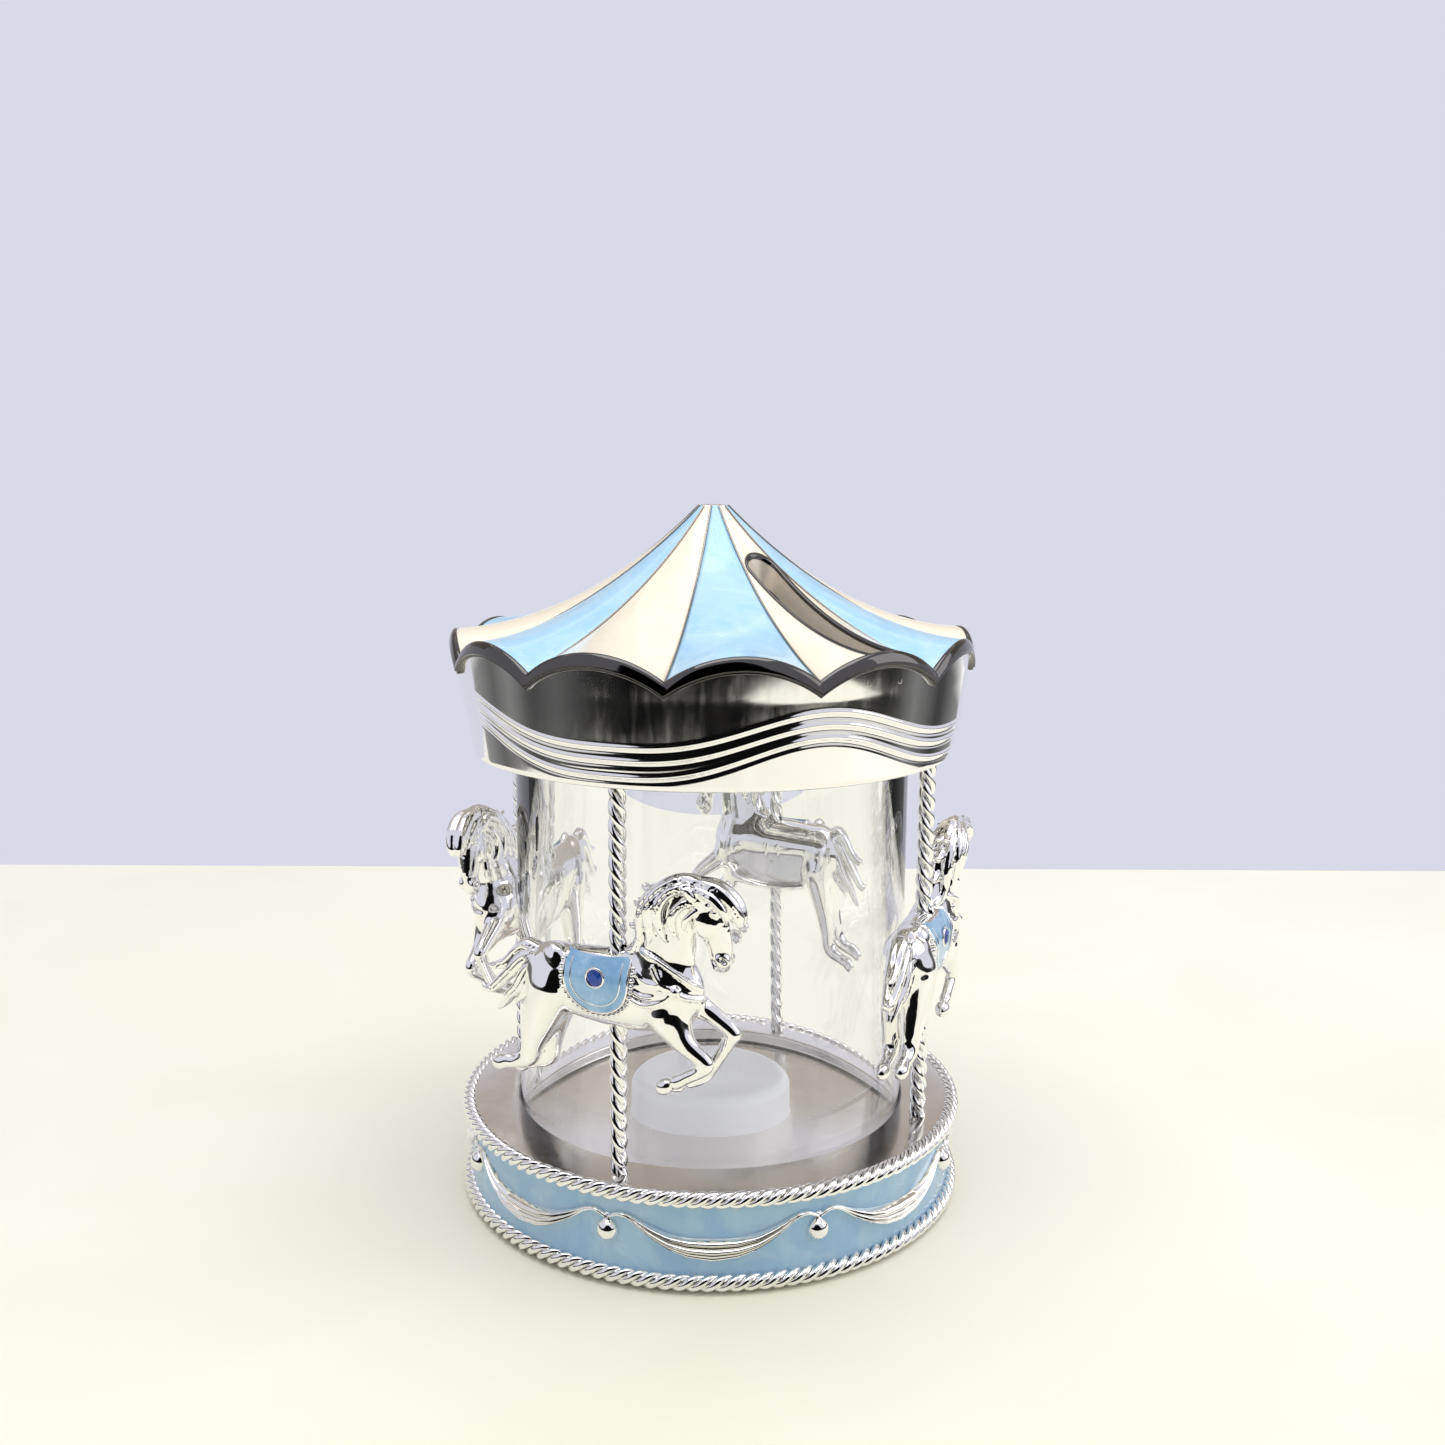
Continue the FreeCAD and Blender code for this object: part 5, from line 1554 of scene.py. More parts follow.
class Clay:
    """A block of voxels in which rounded forms are joined and grooves are cut, then skinned. Millimetres."""

    def __init__(self, low: tuple[float, float, float], high: tuple[float, float, float], step: float) -> None:
        """Starts an empty block.

        Args:
            low: Lowest corner.
            high: Highest corner.
            step: Voxel size.
        """
        self.low = np.array(low)
        self.step = step
        self.counts = np.ceil((np.array(high) - self.low) / step).astype(int) + 1
        self.field = np.full(self.counts, 9.0, dtype=np.float32)

    def window(self, low: np.ndarray, high: np.ndarray) -> tuple[tuple[slice, ...], list[np.ndarray]]:
        """The slices and coordinates of the voxels between two corners.

        Args:
            low: The lower corner.
            high: The upper corner.

        Returns:
            The slices, and the coordinates along each axis.
        """
        start = np.maximum(np.floor((low - self.low) / self.step).astype(int), 0)
        stop = np.minimum(np.ceil((high - self.low) / self.step).astype(int) + 1, self.counts)
        slices = tuple(slice(int(a), int(max(a, b))) for a, b in zip(start, stop))
        axes = [(self.low[i] + self.step * np.arange(slices[i].start, slices[i].stop)).astype(np.float32)
                for i in range(3)]
        return slices, [axes[0][:, None, None], axes[1][None, :, None], axes[2][None, None, :]]

    def rod_distance(self, chain: np.ndarray, flat: float, blend: float) -> tuple[tuple[slice, ...], np.ndarray]:
        """Distance to a chain of tapered rods given as rows of (x, y, z, radius).

        Args:
            chain: Places along the form, each with its radius.
            flat: Width of the section along X over its height; below 1 it is thinner.
            blend: How far the distance is needed.

        Returns:
            The slices that it covers, and the distance there.
        """
        reach = chain[:, 3:4] + blend + 2 * self.step
        slices, (x, y, z) = self.window((chain[:, :3] - reach).min(axis=0), (chain[:, :3] + reach).max(axis=0))
        result = np.full(tuple(s.stop - s.start for s in slices), 9.0, dtype=np.float32)
        for (ax, ay, az, ra), (bx, by, bz, rb) in zip(chain, chain[1:]):
            dx, dy, dz = (bx - ax) / flat, by - ay, bz - az
            px, py, pz = (x - ax) / flat, y - ay, z - az
            share = np.clip((px * dx + py * dy + pz * dz) / max(dx * dx + dy * dy + dz * dz, 1e-9), 0, 1)
            away = np.sqrt((px - share * dx) ** 2 + (py - share * dy) ** 2 + (pz - share * dz) ** 2)
            result = np.minimum(result, away - (ra + share * (rb - ra)))
        return slices, result * (0.5 + 0.5 * flat)

    def join(self, slices: tuple[slice, ...], distance: np.ndarray, blend: float) -> None:
        """Joins a form with a soft fillet.

        Args:
            slices: Where the form lies.
            distance: The distance to it there.
            blend: How softly the form joins the clay.
        """
        field = self.field[slices]
        share = np.clip(0.5 + 0.5 * (field - distance) / blend, 0, 1)
        self.field[slices] = field * (1 - share) + distance * share - blend * share * (1 - share)

    def rod(self, chain: list[tuple[float, ...]], blend: float = 0.5, flat: float = 1.0, smooth: int = 4) -> None:
        """Adds a smooth tapered rod through places of (x, y, z, radius)."""
        self.join(*self.rod_distance(smoothed(chain, smooth), flat, blend), blend)

    def groove(self, chain: list[tuple[float, ...]], blend: float = 0.12, smooth: int = 4) -> None:
        """Cuts a smooth tapered groove through places of (x, y, z, radius).

        Args:
            chain: Places along the form, each with its radius.
            blend: How softly the form joins the clay.
            smooth: Steps between neighbouring places.
        """
        slices, distance = self.rod_distance(smoothed(chain, smooth), 1.0, blend)
        field = self.field[slices]
        share = np.clip(0.5 - 0.5 * (field + distance) / blend, 0, 1)
        self.field[slices] = field * (1 - share) - distance * share + blend * share * (1 - share)

    def ball(self, centre: tuple[float, float, float], radii: tuple[float, float, float], blend: float = 0.5,
             lean: float = 0.0) -> None:
        """Adds an ellipsoid that leans by some degrees about X.

        Args:
            centre: Its middle.
            radii: Its three radii.
            blend: How softly the form joins the clay.
            lean: The lean in degrees.
        """
        reach = max(radii) + blend + 2 * self.step
        middle = np.array(centre)
        slices, (x, y, z) = self.window(middle - reach, middle + reach)
        angle = math.radians(lean)
        across, along = y - centre[1], z - centre[2]
        py = across * math.cos(angle) + along * math.sin(angle)
        pz = -across * math.sin(angle) + along * math.cos(angle)
        px = x - centre[0]
        near = np.sqrt((px / radii[0]) ** 2 + (py / radii[1]) ** 2 + (pz / radii[2]) ** 2)
        slope = np.sqrt((px / radii[0] ** 2) ** 2 + (py / radii[1] ** 2) ** 2 + (pz / radii[2] ** 2) ** 2)
        self.join(slices, (near * (near - 1.0) / np.maximum(slope, 1e-6)).astype(np.float32), blend)

    def soften(self, rounds: int) -> None:
        """Blurs the forms so that no crease is left between rods.

        Args:
            rounds: How often.
        """
        for _ in range(rounds):
            for axis in range(3):
                middle = [slice(None)] * 3
                before, after = list(middle), list(middle)
                middle[axis], before[axis], after[axis] = slice(1, -1), slice(None, -2), slice(2, None)
                blurred = self.field.copy()
                blurred[tuple(middle)] = 0.5 * self.field[tuple(middle)] + 0.25 * (
                    self.field[tuple(before)] + self.field[tuple(after)])
                self.field = blurred

    def bore(self, radius: float) -> None:
        """Drills an upright hole on the axis."""
        _, (x, y, _) = self.window(self.low, self.low + self.step * self.counts)
        self.field = np.maximum(self.field, radius - np.sqrt(x ** 2 + y ** 2))

    def reach(self, y: np.ndarray, angle: np.ndarray, centre_height: float) -> np.ndarray:
        """How far the surface lies from the line x = 0, z = centre height, in the directions given.

        Args:
            y: Places along the body.
            angle: Directions in radians.
            centre_height: Height of the line.

        Returns:
            The distances.
        """
        near = np.full(y.shape, 1.5)
        far = np.full(y.shape, 8.0)
        for _ in range(24):
            middle = 0.5 * (near + far)
            places = np.stack([middle * np.cos(angle), y, centre_height + middle * np.sin(angle)], axis=-1)
            inside = self.sampled(places.reshape(-1, 3)).reshape(y.shape) < 0
            near, far = np.where(inside, middle, near), np.where(inside, far, middle)
        return 0.5 * (near + far)

    def skin(self) -> tuple[np.ndarray, np.ndarray]:
        """The block's surface as points and quads that face outwards.

        Returns:
            Points and quads.
        """
        field = self.field
        inside = field < 0
        total = np.zeros(self.counts - 1)
        place = np.zeros(tuple(self.counts - 1) + (3,))
        for axis in range(3):
            a = [slice(None)] * 3
            b = [slice(None)] * 3
            a[axis], b[axis] = slice(None, -1), slice(1, None)
            first, second = field[tuple(a)], field[tuple(b)]
            crossing = (first < 0) != (second < 0)
            share = np.where(crossing, first / np.where(crossing, first - second, 1.0), 0.0)
            others = [i for i in range(3) if i != axis]
            for i in range(2):
                for j in range(2):
                    part = [slice(None)] * 3
                    part[others[0]] = slice(i, i - 1 or None)
                    part[others[1]] = slice(j, j - 1 or None)
                    hit = crossing[tuple(part)]
                    total += hit
                    place[..., axis] += np.where(hit, share[tuple(part)], 0.0)
                    place[..., others[0]] += hit * i
                    place[..., others[1]] += hit * j
        cells = total > 0
        number = np.full(cells.shape, -1)
        number[cells] = np.arange(int(cells.sum()))
        corner = np.stack(np.nonzero(cells), axis=1)
        points = self.low + self.step * (corner + place[cells] / total[cells][:, None])
        quads = []
        for axis in range(3):
            u, v = (axis + 1) % 3, (axis + 2) % 3
            a = [slice(1, -1)] * 3
            b = [slice(1, -1)] * 3
            a[axis], b[axis] = slice(None, -1), slice(1, None)
            change = inside[tuple(a)] != inside[tuple(b)]
            where = np.stack(np.nonzero(change), axis=1)
            where[:, u] += 1
            where[:, v] += 1
            down = inside[tuple(where.T)]
            around = []
            for du, dv in ((-1, -1), (0, -1), (0, 0), (-1, 0)):
                cell = where.copy()
                cell[:, u] += du
                cell[:, v] += dv
                around.append(number[tuple(cell.T)])
            quad = np.stack(around, axis=1)
            quad[~down] = quad[~down][:, ::-1]
            quads.append(quad)
        return self.settled(points), np.concatenate(quads)

    def sampled(self, points: np.ndarray) -> np.ndarray:
        """The field between voxels.

        Args:
            points: Places in millimetres.

        Returns:
            The field's values at the places.
        """
        place = np.clip((points - self.low) / self.step, 0, self.counts - 1.001)
        cell = np.floor(place).astype(int)
        share = place - cell
        value = np.zeros(len(points))
        for i in range(2):
            for j in range(2):
                for k in range(2):
                    weight = np.where(i, share[:, 0], 1 - share[:, 0]) * np.where(j, share[:, 1], 1 - share[:, 1])
                    weight *= np.where(k, share[:, 2], 1 - share[:, 2])
                    value += weight * self.field[cell[:, 0] + i, cell[:, 1] + j, cell[:, 2] + k]
        return value

    def settled(self, points: np.ndarray) -> np.ndarray:
        """Points moved on to the true surface.

        Args:
            points: Places in millimetres.

        Returns:
            The moved places.
        """
        reach = 0.5 * self.step
        for _ in range(2):
            value = self.sampled(points)
            slope = np.stack([self.sampled(points + reach * axis) - self.sampled(points - reach * axis)
                              for axis in np.eye(3)], axis=1) / (2 * reach)
            length = np.maximum((slope ** 2).sum(axis=1), 0.1)
            points = points - np.clip((value / length)[:, None] * slope, -0.4 * self.step, 0.4 * self.step)
        return points


def smoothed(chain: list[tuple[float, ...]], steps: int) -> np.ndarray:
    """A smooth curve through places, with the given steps between neighbours.

    Args:
        chain: Rows of places.
        steps: How many steps.

    Returns:
        The rows of the curve.
    """
    rows = np.array(chain, dtype=float)
    if len(rows) < 3 or steps < 2:
        return rows
    ends = np.vstack([2 * rows[0] - rows[1], rows, 2 * rows[-1] - rows[-2]])
    result = []
    for p0, p1, p2, p3 in zip(ends, ends[1:], ends[2:], ends[3:]):
        for share in np.arange(steps) / steps:
            result.append(0.5 * (2 * p1 + (p2 - p0) * share + (2 * p0 - 5 * p1 + 4 * p2 - p3) * share ** 2
                                 + (3 * p1 - p0 - 3 * p2 + p3) * share ** 3))
    result.append(rows[-1])
    curve = np.array(result)
    curve[:, 3] = np.maximum(curve[:, 3], 0.05)
    return curve


@dataclass(frozen=True)
class HorseForm:
    """Where a horse's parts lie: outward, forward and up from its pole, with radii. Millimetres."""

    torso: tuple = ((0, -13.0, 0.4, 4.8), (0, -8.5, 0.2, 5.6), (0, -3.0, -0.1, 6.3), (0, 3.0, -0.3, 6.5),
                    (0, 8.0, 0.0, 6.2), (0, 10.8, 1.0, 4.4))
    flank: tuple = ((0, -11.0, 2.2, 3.7), (0, -4.0, 2.2, 4.0), (0, 3.0, 2.2, 4.1), (0, 9.4, 2.4, 4.0))
    lean: float = 0.12
    neck: tuple = ((0, 6.6, 3.5, 6.0), (0, 8.6, 8.0, 5.4), (0, 9.6, 12.0, 4.7), (0, 12.0, 15.8, 4.1),
                   (0, 14.6, 17.0, 3.4))
    head: tuple = ((0, 15.6, 16.9, 3.1), (0, 16.9, 13.6, 2.9), (0, 18.0, 10.4, 2.25), (0, 18.3, 8.2, 1.9),
                   (0, 18.2, 6.7, 1.75))
    hind_outer: tuple = ((1.3, -11.5, -1.0, 4.3), (1.9, -13.4, -6.8, 2.9), (1.9, -15.0, -11.0, 2.0),
                         (1.9, -15.8, -13.6, 1.75), (1.9, -18.4, -14.9, 1.2), (1.9, -20.0, -15.0, 1.35))
    hind_inner: tuple = ((-1.2, -10.8, -1.5, 3.8), (-1.7, -12.5, -7.2, 2.6), (-1.8, -13.4, -11.5, 1.9),
                         (-1.8, -14.0, -14.7, 1.6), (-1.8, -16.6, -16.0, 1.15), (-1.8, -18.0, -16.3, 1.2))
    fore_inner: tuple = ((-1.2, 10.2, 0.3, 3.6), (-1.7, 13.2, -1.4, 2.0), (-1.9, 19.2, -5.4, 1.4),
                         (-1.9, 19.0, -6.8, 1.3), (-1.9, 17.2, -10.0, 1.15), (-1.9, 14.6, -13.6, 1.3),
                         (-1.9, 12.0, -15.2, 1.15))
    fore_outer: tuple = ((1.3, 9.4, -3.0, 3.6), (1.9, 12.6, -7.0, 1.9), (2.0, 16.3, -9.8, 1.35),
                         (2.0, 15.6, -11.2, 1.2), (2.0, 12.9, -12.9, 1.1), (2.0, 11.2, -13.9, 1.25))
    hooves: tuple = ((1.9, -21.1, -15.4, 15.0), (-1.8, -19.2, -16.8, 20.0), (-1.9, 9.6, -16.0, 10.0),
                     (2.0, 9.2, -14.9, 30.0))

    def sculpt(self, clay: Clay) -> None:
        """Models the whole horse.

        Args:
            clay: The clay that the forms are joined to.
        """
        clay.rod(list(self.torso), 0.5, 0.56)
        clay.rod(list(self.flank), 1.6)
        clay.rod(list(self.neck), 1.6, 0.56)
        clay.ball((0.0, -12.0, 1.4), (4.0, 4.4, 4.6), 1.6)
        clay.ball((0.2, 9.8, 1.2), (4.1, 4.7, 4.9), 1.6, -12.0)
        for leg in (self.hind_outer, self.hind_inner, self.fore_inner, self.fore_outer):
            clay.rod(list(leg), 1.0, 0.95, 8)
        clay.soften(4)
        for x, y, z, lean in self.hooves:
            clay.ball((x, y, z), (1.35, 1.75, 1.35), 0.25, lean)
            angle = math.radians(lean)
            for side in (-1.5, 1.5):
                clay.groove([(x + side, y + 1.3 - math.sin(angle), z + 1.2, 0.16),
                             (x + side, y + 1.1, z - 1.3, 0.16)])
        self.sculpt_head(clay)
        self.sculpt_hair(clay)
        self.sculpt_tack(clay)

    def sculpt_head(self, clay: Clay) -> None:
        """Models the head: cheeks, eyes, nostrils, mouth and ears.

        Args:
            clay: The clay that the forms are joined to.
        """
        clay.rod(list(self.head), 0.8, 0.74)
        for side in (1.0, -1.0):
            clay.ball((1.45 * side, 16.3, 13.4), (1.15, 2.15, 2.6), 0.35, 14.0)
            clay.ball((1.15 * side, 18.9, 7.4), (0.9, 1.35, 1.3), 0.5)
            clay.rod([(1.5 * side, 17.0, 16.5, 0.4), (2.15 * side, 18.2, 16.7, 0.42), (1.9 * side, 19.3, 16.0, 0.35)],
                     0.25)
            clay.ball((1.75 * side, 18.3, 15.6), (0.75, 0.75, 0.62), 0.1)
            clay.groove([(2.3 * side, 17.3, 15.2, 0.14), (2.45 * side, 18.3, 14.8, 0.16),
                         (2.2 * side, 19.2, 15.2, 0.12)])
            clay.rod([(1.7 * side, 17.9, 13.8, 0.35), (1.6 * side, 18.6, 11.6, 0.35),
                      (1.3 * side, 19.0, 9.6, 0.3)], 0.4)
            clay.groove([(1.75 * side, 19.0, 7.9, 0.32), (1.75 * side, 19.5, 7.5, 0.36)], 0.2)
            clay.groove([(0.4 * side, 20.0, 5.9, 0.2), (1.4 * side, 19.2, 5.9, 0.2), (1.9 * side, 17.6, 6.5, 0.16)])
            clay.groove([(2.3 * side, 14.9, 12.6, 0.18), (2.3 * side, 15.4, 10.8, 0.2), (1.9 * side, 16.6, 9.2, 0.16)])
            clay.rod([(1.6 * side, 14.9, 17.4, 1.0), (2.3 * side, 13.9, 18.7, 0.8), (2.6 * side, 12.9, 19.6, 0.2)], 0.3)
            clay.groove([(3.0 * side, 15.0, 17.5, 0.25), (3.25 * side, 14.1, 18.6, 0.32),
                         (3.1 * side, 13.2, 19.3, 0.15)])

    def sculpt_hair(self, clay: Clay) -> None:
        """Models the mane, forelock and tail in separate locks.

        Args:
            clay: The clay that the forms are joined to.
        """
        clay.rod([(0, 17.0, 19.2, 1.5), (0, 12.6, 19.7, 1.6), (0, 8.6, 17.8, 1.6), (0, 6.2, 14.6, 1.5),
                  (0, 5.2, 10.6, 1.3), (0, 4.4, 6.6, 1.0)], 0.6)
        outer = (
            ((0.5, 14.6, 19.9, 1.1), (0.9, 18.0, 19.3, 1.3), (1.1, 20.6, 17.4, 1.25), (0.9, 21.7, 15.2, 1.05),
             (0.7, 21.9, 13.9, 0.75)),
            ((1.5, 15.2, 18.9, 0.9), (2.2, 17.8, 18.2, 0.85), (2.3, 19.6, 16.6, 0.75), (1.9, 20.4, 14.9, 0.45)),
            ((1.6, 13.6, 19.4, 0.85), (2.7, 10.7, 18.2, 0.9), (3.3, 9.1, 15.4, 0.9), (3.2, 9.3, 12.2, 0.7),
             (3.0, 10.2, 10.0, 0.15)),
            ((1.3, 11.6, 20.0, 0.85), (2.3, 8.6, 18.0, 0.95), (2.9, 7.2, 14.8, 0.95), (2.8, 7.4, 11.2, 0.8),
             (2.7, 6.6, 8.4, 0.15)),
            ((0.8, 9.6, 19.2, 0.8), (1.6, 6.6, 16.8, 0.9), (2.1, 5.2, 13.2, 0.95), (2.1, 5.0, 9.6, 0.8),
             (2.0, 3.6, 7.0, 0.5), (1.9, 3.0, 5.0, 0.15)),
            ((1.9, 15.0, 17.2, 0.7), (2.9, 12.8, 16.4, 0.8), (3.3, 11.4, 14.2, 0.75), (3.1, 11.6, 12.0, 0.55),
             (2.9, 12.6, 10.6, 0.12)),
            ((2.2, 15.0, 15.6, 0.5), (2.8, 13.8, 14.4, 0.55), (2.7, 13.3, 12.9, 0.4), (2.5, 13.9, 11.9, 0.1)),
            ((0.5, 5.6, 15.8, 0.8), (0.9, 4.2, 15.0, 0.55), (1.0, 3.3, 15.6, 0.12)),
            ((0.5, 4.8, 12.2, 0.8), (0.9, 3.2, 11.2, 0.55), (1.0, 2.4, 11.7, 0.12)),
            ((0.5, 7.6, 18.2, 0.8), (0.8, 6.0, 18.0, 0.5), (0.8, 5.2, 18.7, 0.12)),
            ((1.6, 4.4, 8.2, 0.7), (1.7, 2.8, 7.2, 0.55), (1.5, 1.8, 7.5, 0.12)),
        )
        tail = (
            ((0.3, -13.9, 4.2, 1.5), (0.5, -16.4, 5.3, 1.15), (0.6, -18.4, 4.4, 0.95), (0.5, -20.4, 2.2, 0.9),
             (0.4, -22.6, 1.0, 0.7), (0.3, -24.5, 0.9, 0.2)),
            ((0.6, -15.0, 4.2, 1.4), (0.9, -17.4, 3.0, 1.2), (0.9, -19.6, 0.6, 1.1), (0.6, -21.6, -1.4, 1.0),
             (0.4, -23.4, -3.0, 0.85), (0.3, -24.9, -3.3, 0.55), (0.2, -25.6, -2.5, 0.15)),
            ((0.9, -15.2, 3.0, 1.3), (1.3, -16.8, 0.4, 1.15), (1.2, -18.2, -2.0, 1.05), (0.8, -20.0, -3.8, 0.9),
             (0.5, -21.2, -5.4, 0.7), (0.3, -22.6, -6.9, 0.15)),
            ((1.3, -15.0, 1.6, 0.9), (1.8, -15.8, -0.8, 0.85), (1.6, -16.8, -3.0, 0.7), (1.3, -18.2, -4.4, 0.4),
             (1.2, -18.7, -5.4, 0.1)),
        )
        for lock in outer + tail:
            clay.rod(list(lock), 0.12)
            clay.rod([(-0.8 * x, y, z, r) for x, y, z, r in lock], 0.2)
        for lock in outer[:6] + tail[:3]:
            for shift in (-0.3, 0.3):
                rows = [(x + 0.88 * r, y + shift * r, z + shift * r, 0.13) for x, y, z, r in lock[:-1]]
                clay.groove(rows, 0.08)

    def sculpt_tack(self, clay: Clay) -> None:
        """Models the cantle, the crupper bands, the breast ribbons and the girth.

        Args:
            clay: The clay that the forms are joined to.
        """
        clay.ball((1.7, -10.4, 4.0), (2.1, 2.3, 3.0), 0.15, 18.0)
        clay.rod([(0.2, -13.7, 5.2, 0.45), (2.6, -13.1, 4.3, 0.45), (3.5, -12.2, 2.0, 0.45), (3.8, -10.6, 0.7, 0.45),
                  (4.0, -8.8, 0.1, 0.45)], 0.1)
        clay.rod([(0.2, -14.9, 4.6, 0.4), (2.4, -14.5, 3.2, 0.4), (3.4, -13.4, 0.6, 0.4), (3.8, -11.2, -0.9, 0.4),
                  (4.0, -8.8, -1.5, 0.4)], 0.1)
        clay.rod([(0.4, -7.6, 6.2, 0.6), (2.6, -8.0, 5.4, 0.55), (3.6, -8.0, 3.2, 0.5), (3.9, -8.1, 0.6, 0.5)], 0.15)
        ribbons = (
            ((1.6, 4.6, 8.4, 0.45), (3.0, 6.6, 7.7, 0.45), (3.6, 9.4, 6.5, 0.45), (3.5, 11.8, 5.0, 0.45),
             (2.4, 13.8, 3.2, 0.45), (0.4, 14.9, 1.9, 0.45)),
            ((3.6, 4.6, 4.4, 0.35), (4.0, 6.6, 3.0, 0.4), (4.1, 9.0, 2.9, 0.45), (4.0, 11.2, 2.4, 0.5),
             (3.4, 12.8, 1.2, 0.5), (1.8, 14.6, 0.5, 0.45), (0.3, 15.2, 0.4, 0.4)),
            ((3.7, 7.8, 5.6, 0.35), (4.1, 8.8, 3.8, 0.4), (4.1, 10.2, 2.6, 0.45), (3.9, 11.8, 2.6, 0.5)),
            ((3.9, 3.2, 0.2, 0.5), (4.2, 6.2, -0.8, 0.5), (4.1, 9.2, 0.0, 0.5), (3.9, 11.6, 1.6, 0.5)),
            ((3.9, 3.4, 1.8, 0.3), (4.2, 6.2, 0.7, 0.35), (4.1, 9.2, 1.2, 0.35), (3.9, 11.4, 2.0, 0.4)),
        )
        for ribbon in ribbons:
            clay.rod(list(ribbon), 0.1)
        clay.ball((3.8, 11.8, 2.1), (0.9, 0.85, 0.85), 0.12)
        for y in (-1.6, 1.4):
            clay.groove([(-3.9, y, 6.0, 0.16), (-4.1, y, 0.0, 0.16), (-3.2, y, -6.0, 0.16)])


@dataclass
class SaddleForm:
    """The U-shaped saddle cloth on the horse's outward flank. Sizes in millimetres."""

    middle: float = -2.1
    half: float = 5.8
    bend: float = 2.4
    foot: float = -3.1
    top: float = 6.0
    thickness: float = 0.55
    line_inset: float = 1.25
    centre_height: float = 0.0

    def lower_edge(self, across: np.ndarray, inset: float) -> tuple[np.ndarray, np.ndarray]:
        """Places forward and up along the lower edge, for angles across the cloth.

        Args:
            across: The angles.
            inset: How far inside the edge.

        Returns:
            Places forward, and places up.
        """
        half = self.half - inset
        forward = self.middle + half * np.sin(across)
        return forward, self.bend - (self.bend - self.foot - inset) * np.cos(across) ** 0.9

    def on_skin(self, clay: Clay, forward: np.ndarray, height: np.ndarray, lift: float) -> np.ndarray:
        """Places on the flank, lifted off it, at forward and up coordinates.

        Args:
            clay: The horse's clay.
            forward: Places forward.
            height: Places up.
            lift: How far off the skin.

        Returns:
            The places.
        """
        angles = np.radians(np.linspace(-60, 86, 120))
        stations, lookup = np.unique(forward.ravel(), return_inverse=True)
        grid_forward, grid_angle = np.meshgrid(stations, angles, indexing="ij")
        reach = clay.reach(grid_forward, grid_angle, self.centre_height)
        result = np.zeros((forward.size, 3))
        for index, (row, wanted) in enumerate(zip(lookup, height.ravel())):
            angle = np.interp(wanted, self.centre_height + reach[row] * np.sin(angles), angles)
            length = np.interp(angle, angles, reach[row]) + lift
            result[index] = (length * math.cos(angle), stations[row], self.centre_height + length * math.sin(angle))
        return result.reshape(forward.shape + (3,))

    def cloth(self, clay: Clay) -> tuple[np.ndarray, np.ndarray]:
        """The cloth as a thin closed plate.

        Args:
            clay: The horse's clay.

        Returns:
            Points and faces.
        """
        across = np.linspace(-math.pi / 2, math.pi / 2, 37)
        forward, low = self.lower_edge(across, 0.0)
        share = np.linspace(0, 1, 22)[None, :]
        sag = 0.5 * np.cos(across) ** 2
        height = low[:, None] + (self.top - sag - low)[:, None] * share
        place = np.repeat(forward[:, None], 22, axis=1)
        top = self.on_skin(clay, place, height, self.thickness)
        bottom = self.on_skin(clay, place, height, -0.25)
        return plate_between(top, bottom)

    def outline(self, clay: Clay, inset: float, lift: float, top: float) -> np.ndarray:
        """A line down one side, round the lower edge and up the other side.

        Args:
            clay: The horse's clay.
            inset: How far inside the edge.
            lift: How far off the skin.
            top: Height at which both ends stop.

        Returns:
            The line's places.
        """
        across = np.linspace(-math.pi / 2, math.pi / 2, 49)
        forward, low = self.lower_edge(across, inset)
        up = np.linspace(top, low[0], 10)[:-1]
        forward = np.concatenate([np.full(9, forward[0]), forward, np.full(9, forward[-1])])
        return self.on_skin(clay, forward, np.concatenate([up, low, up[::-1]]), lift)


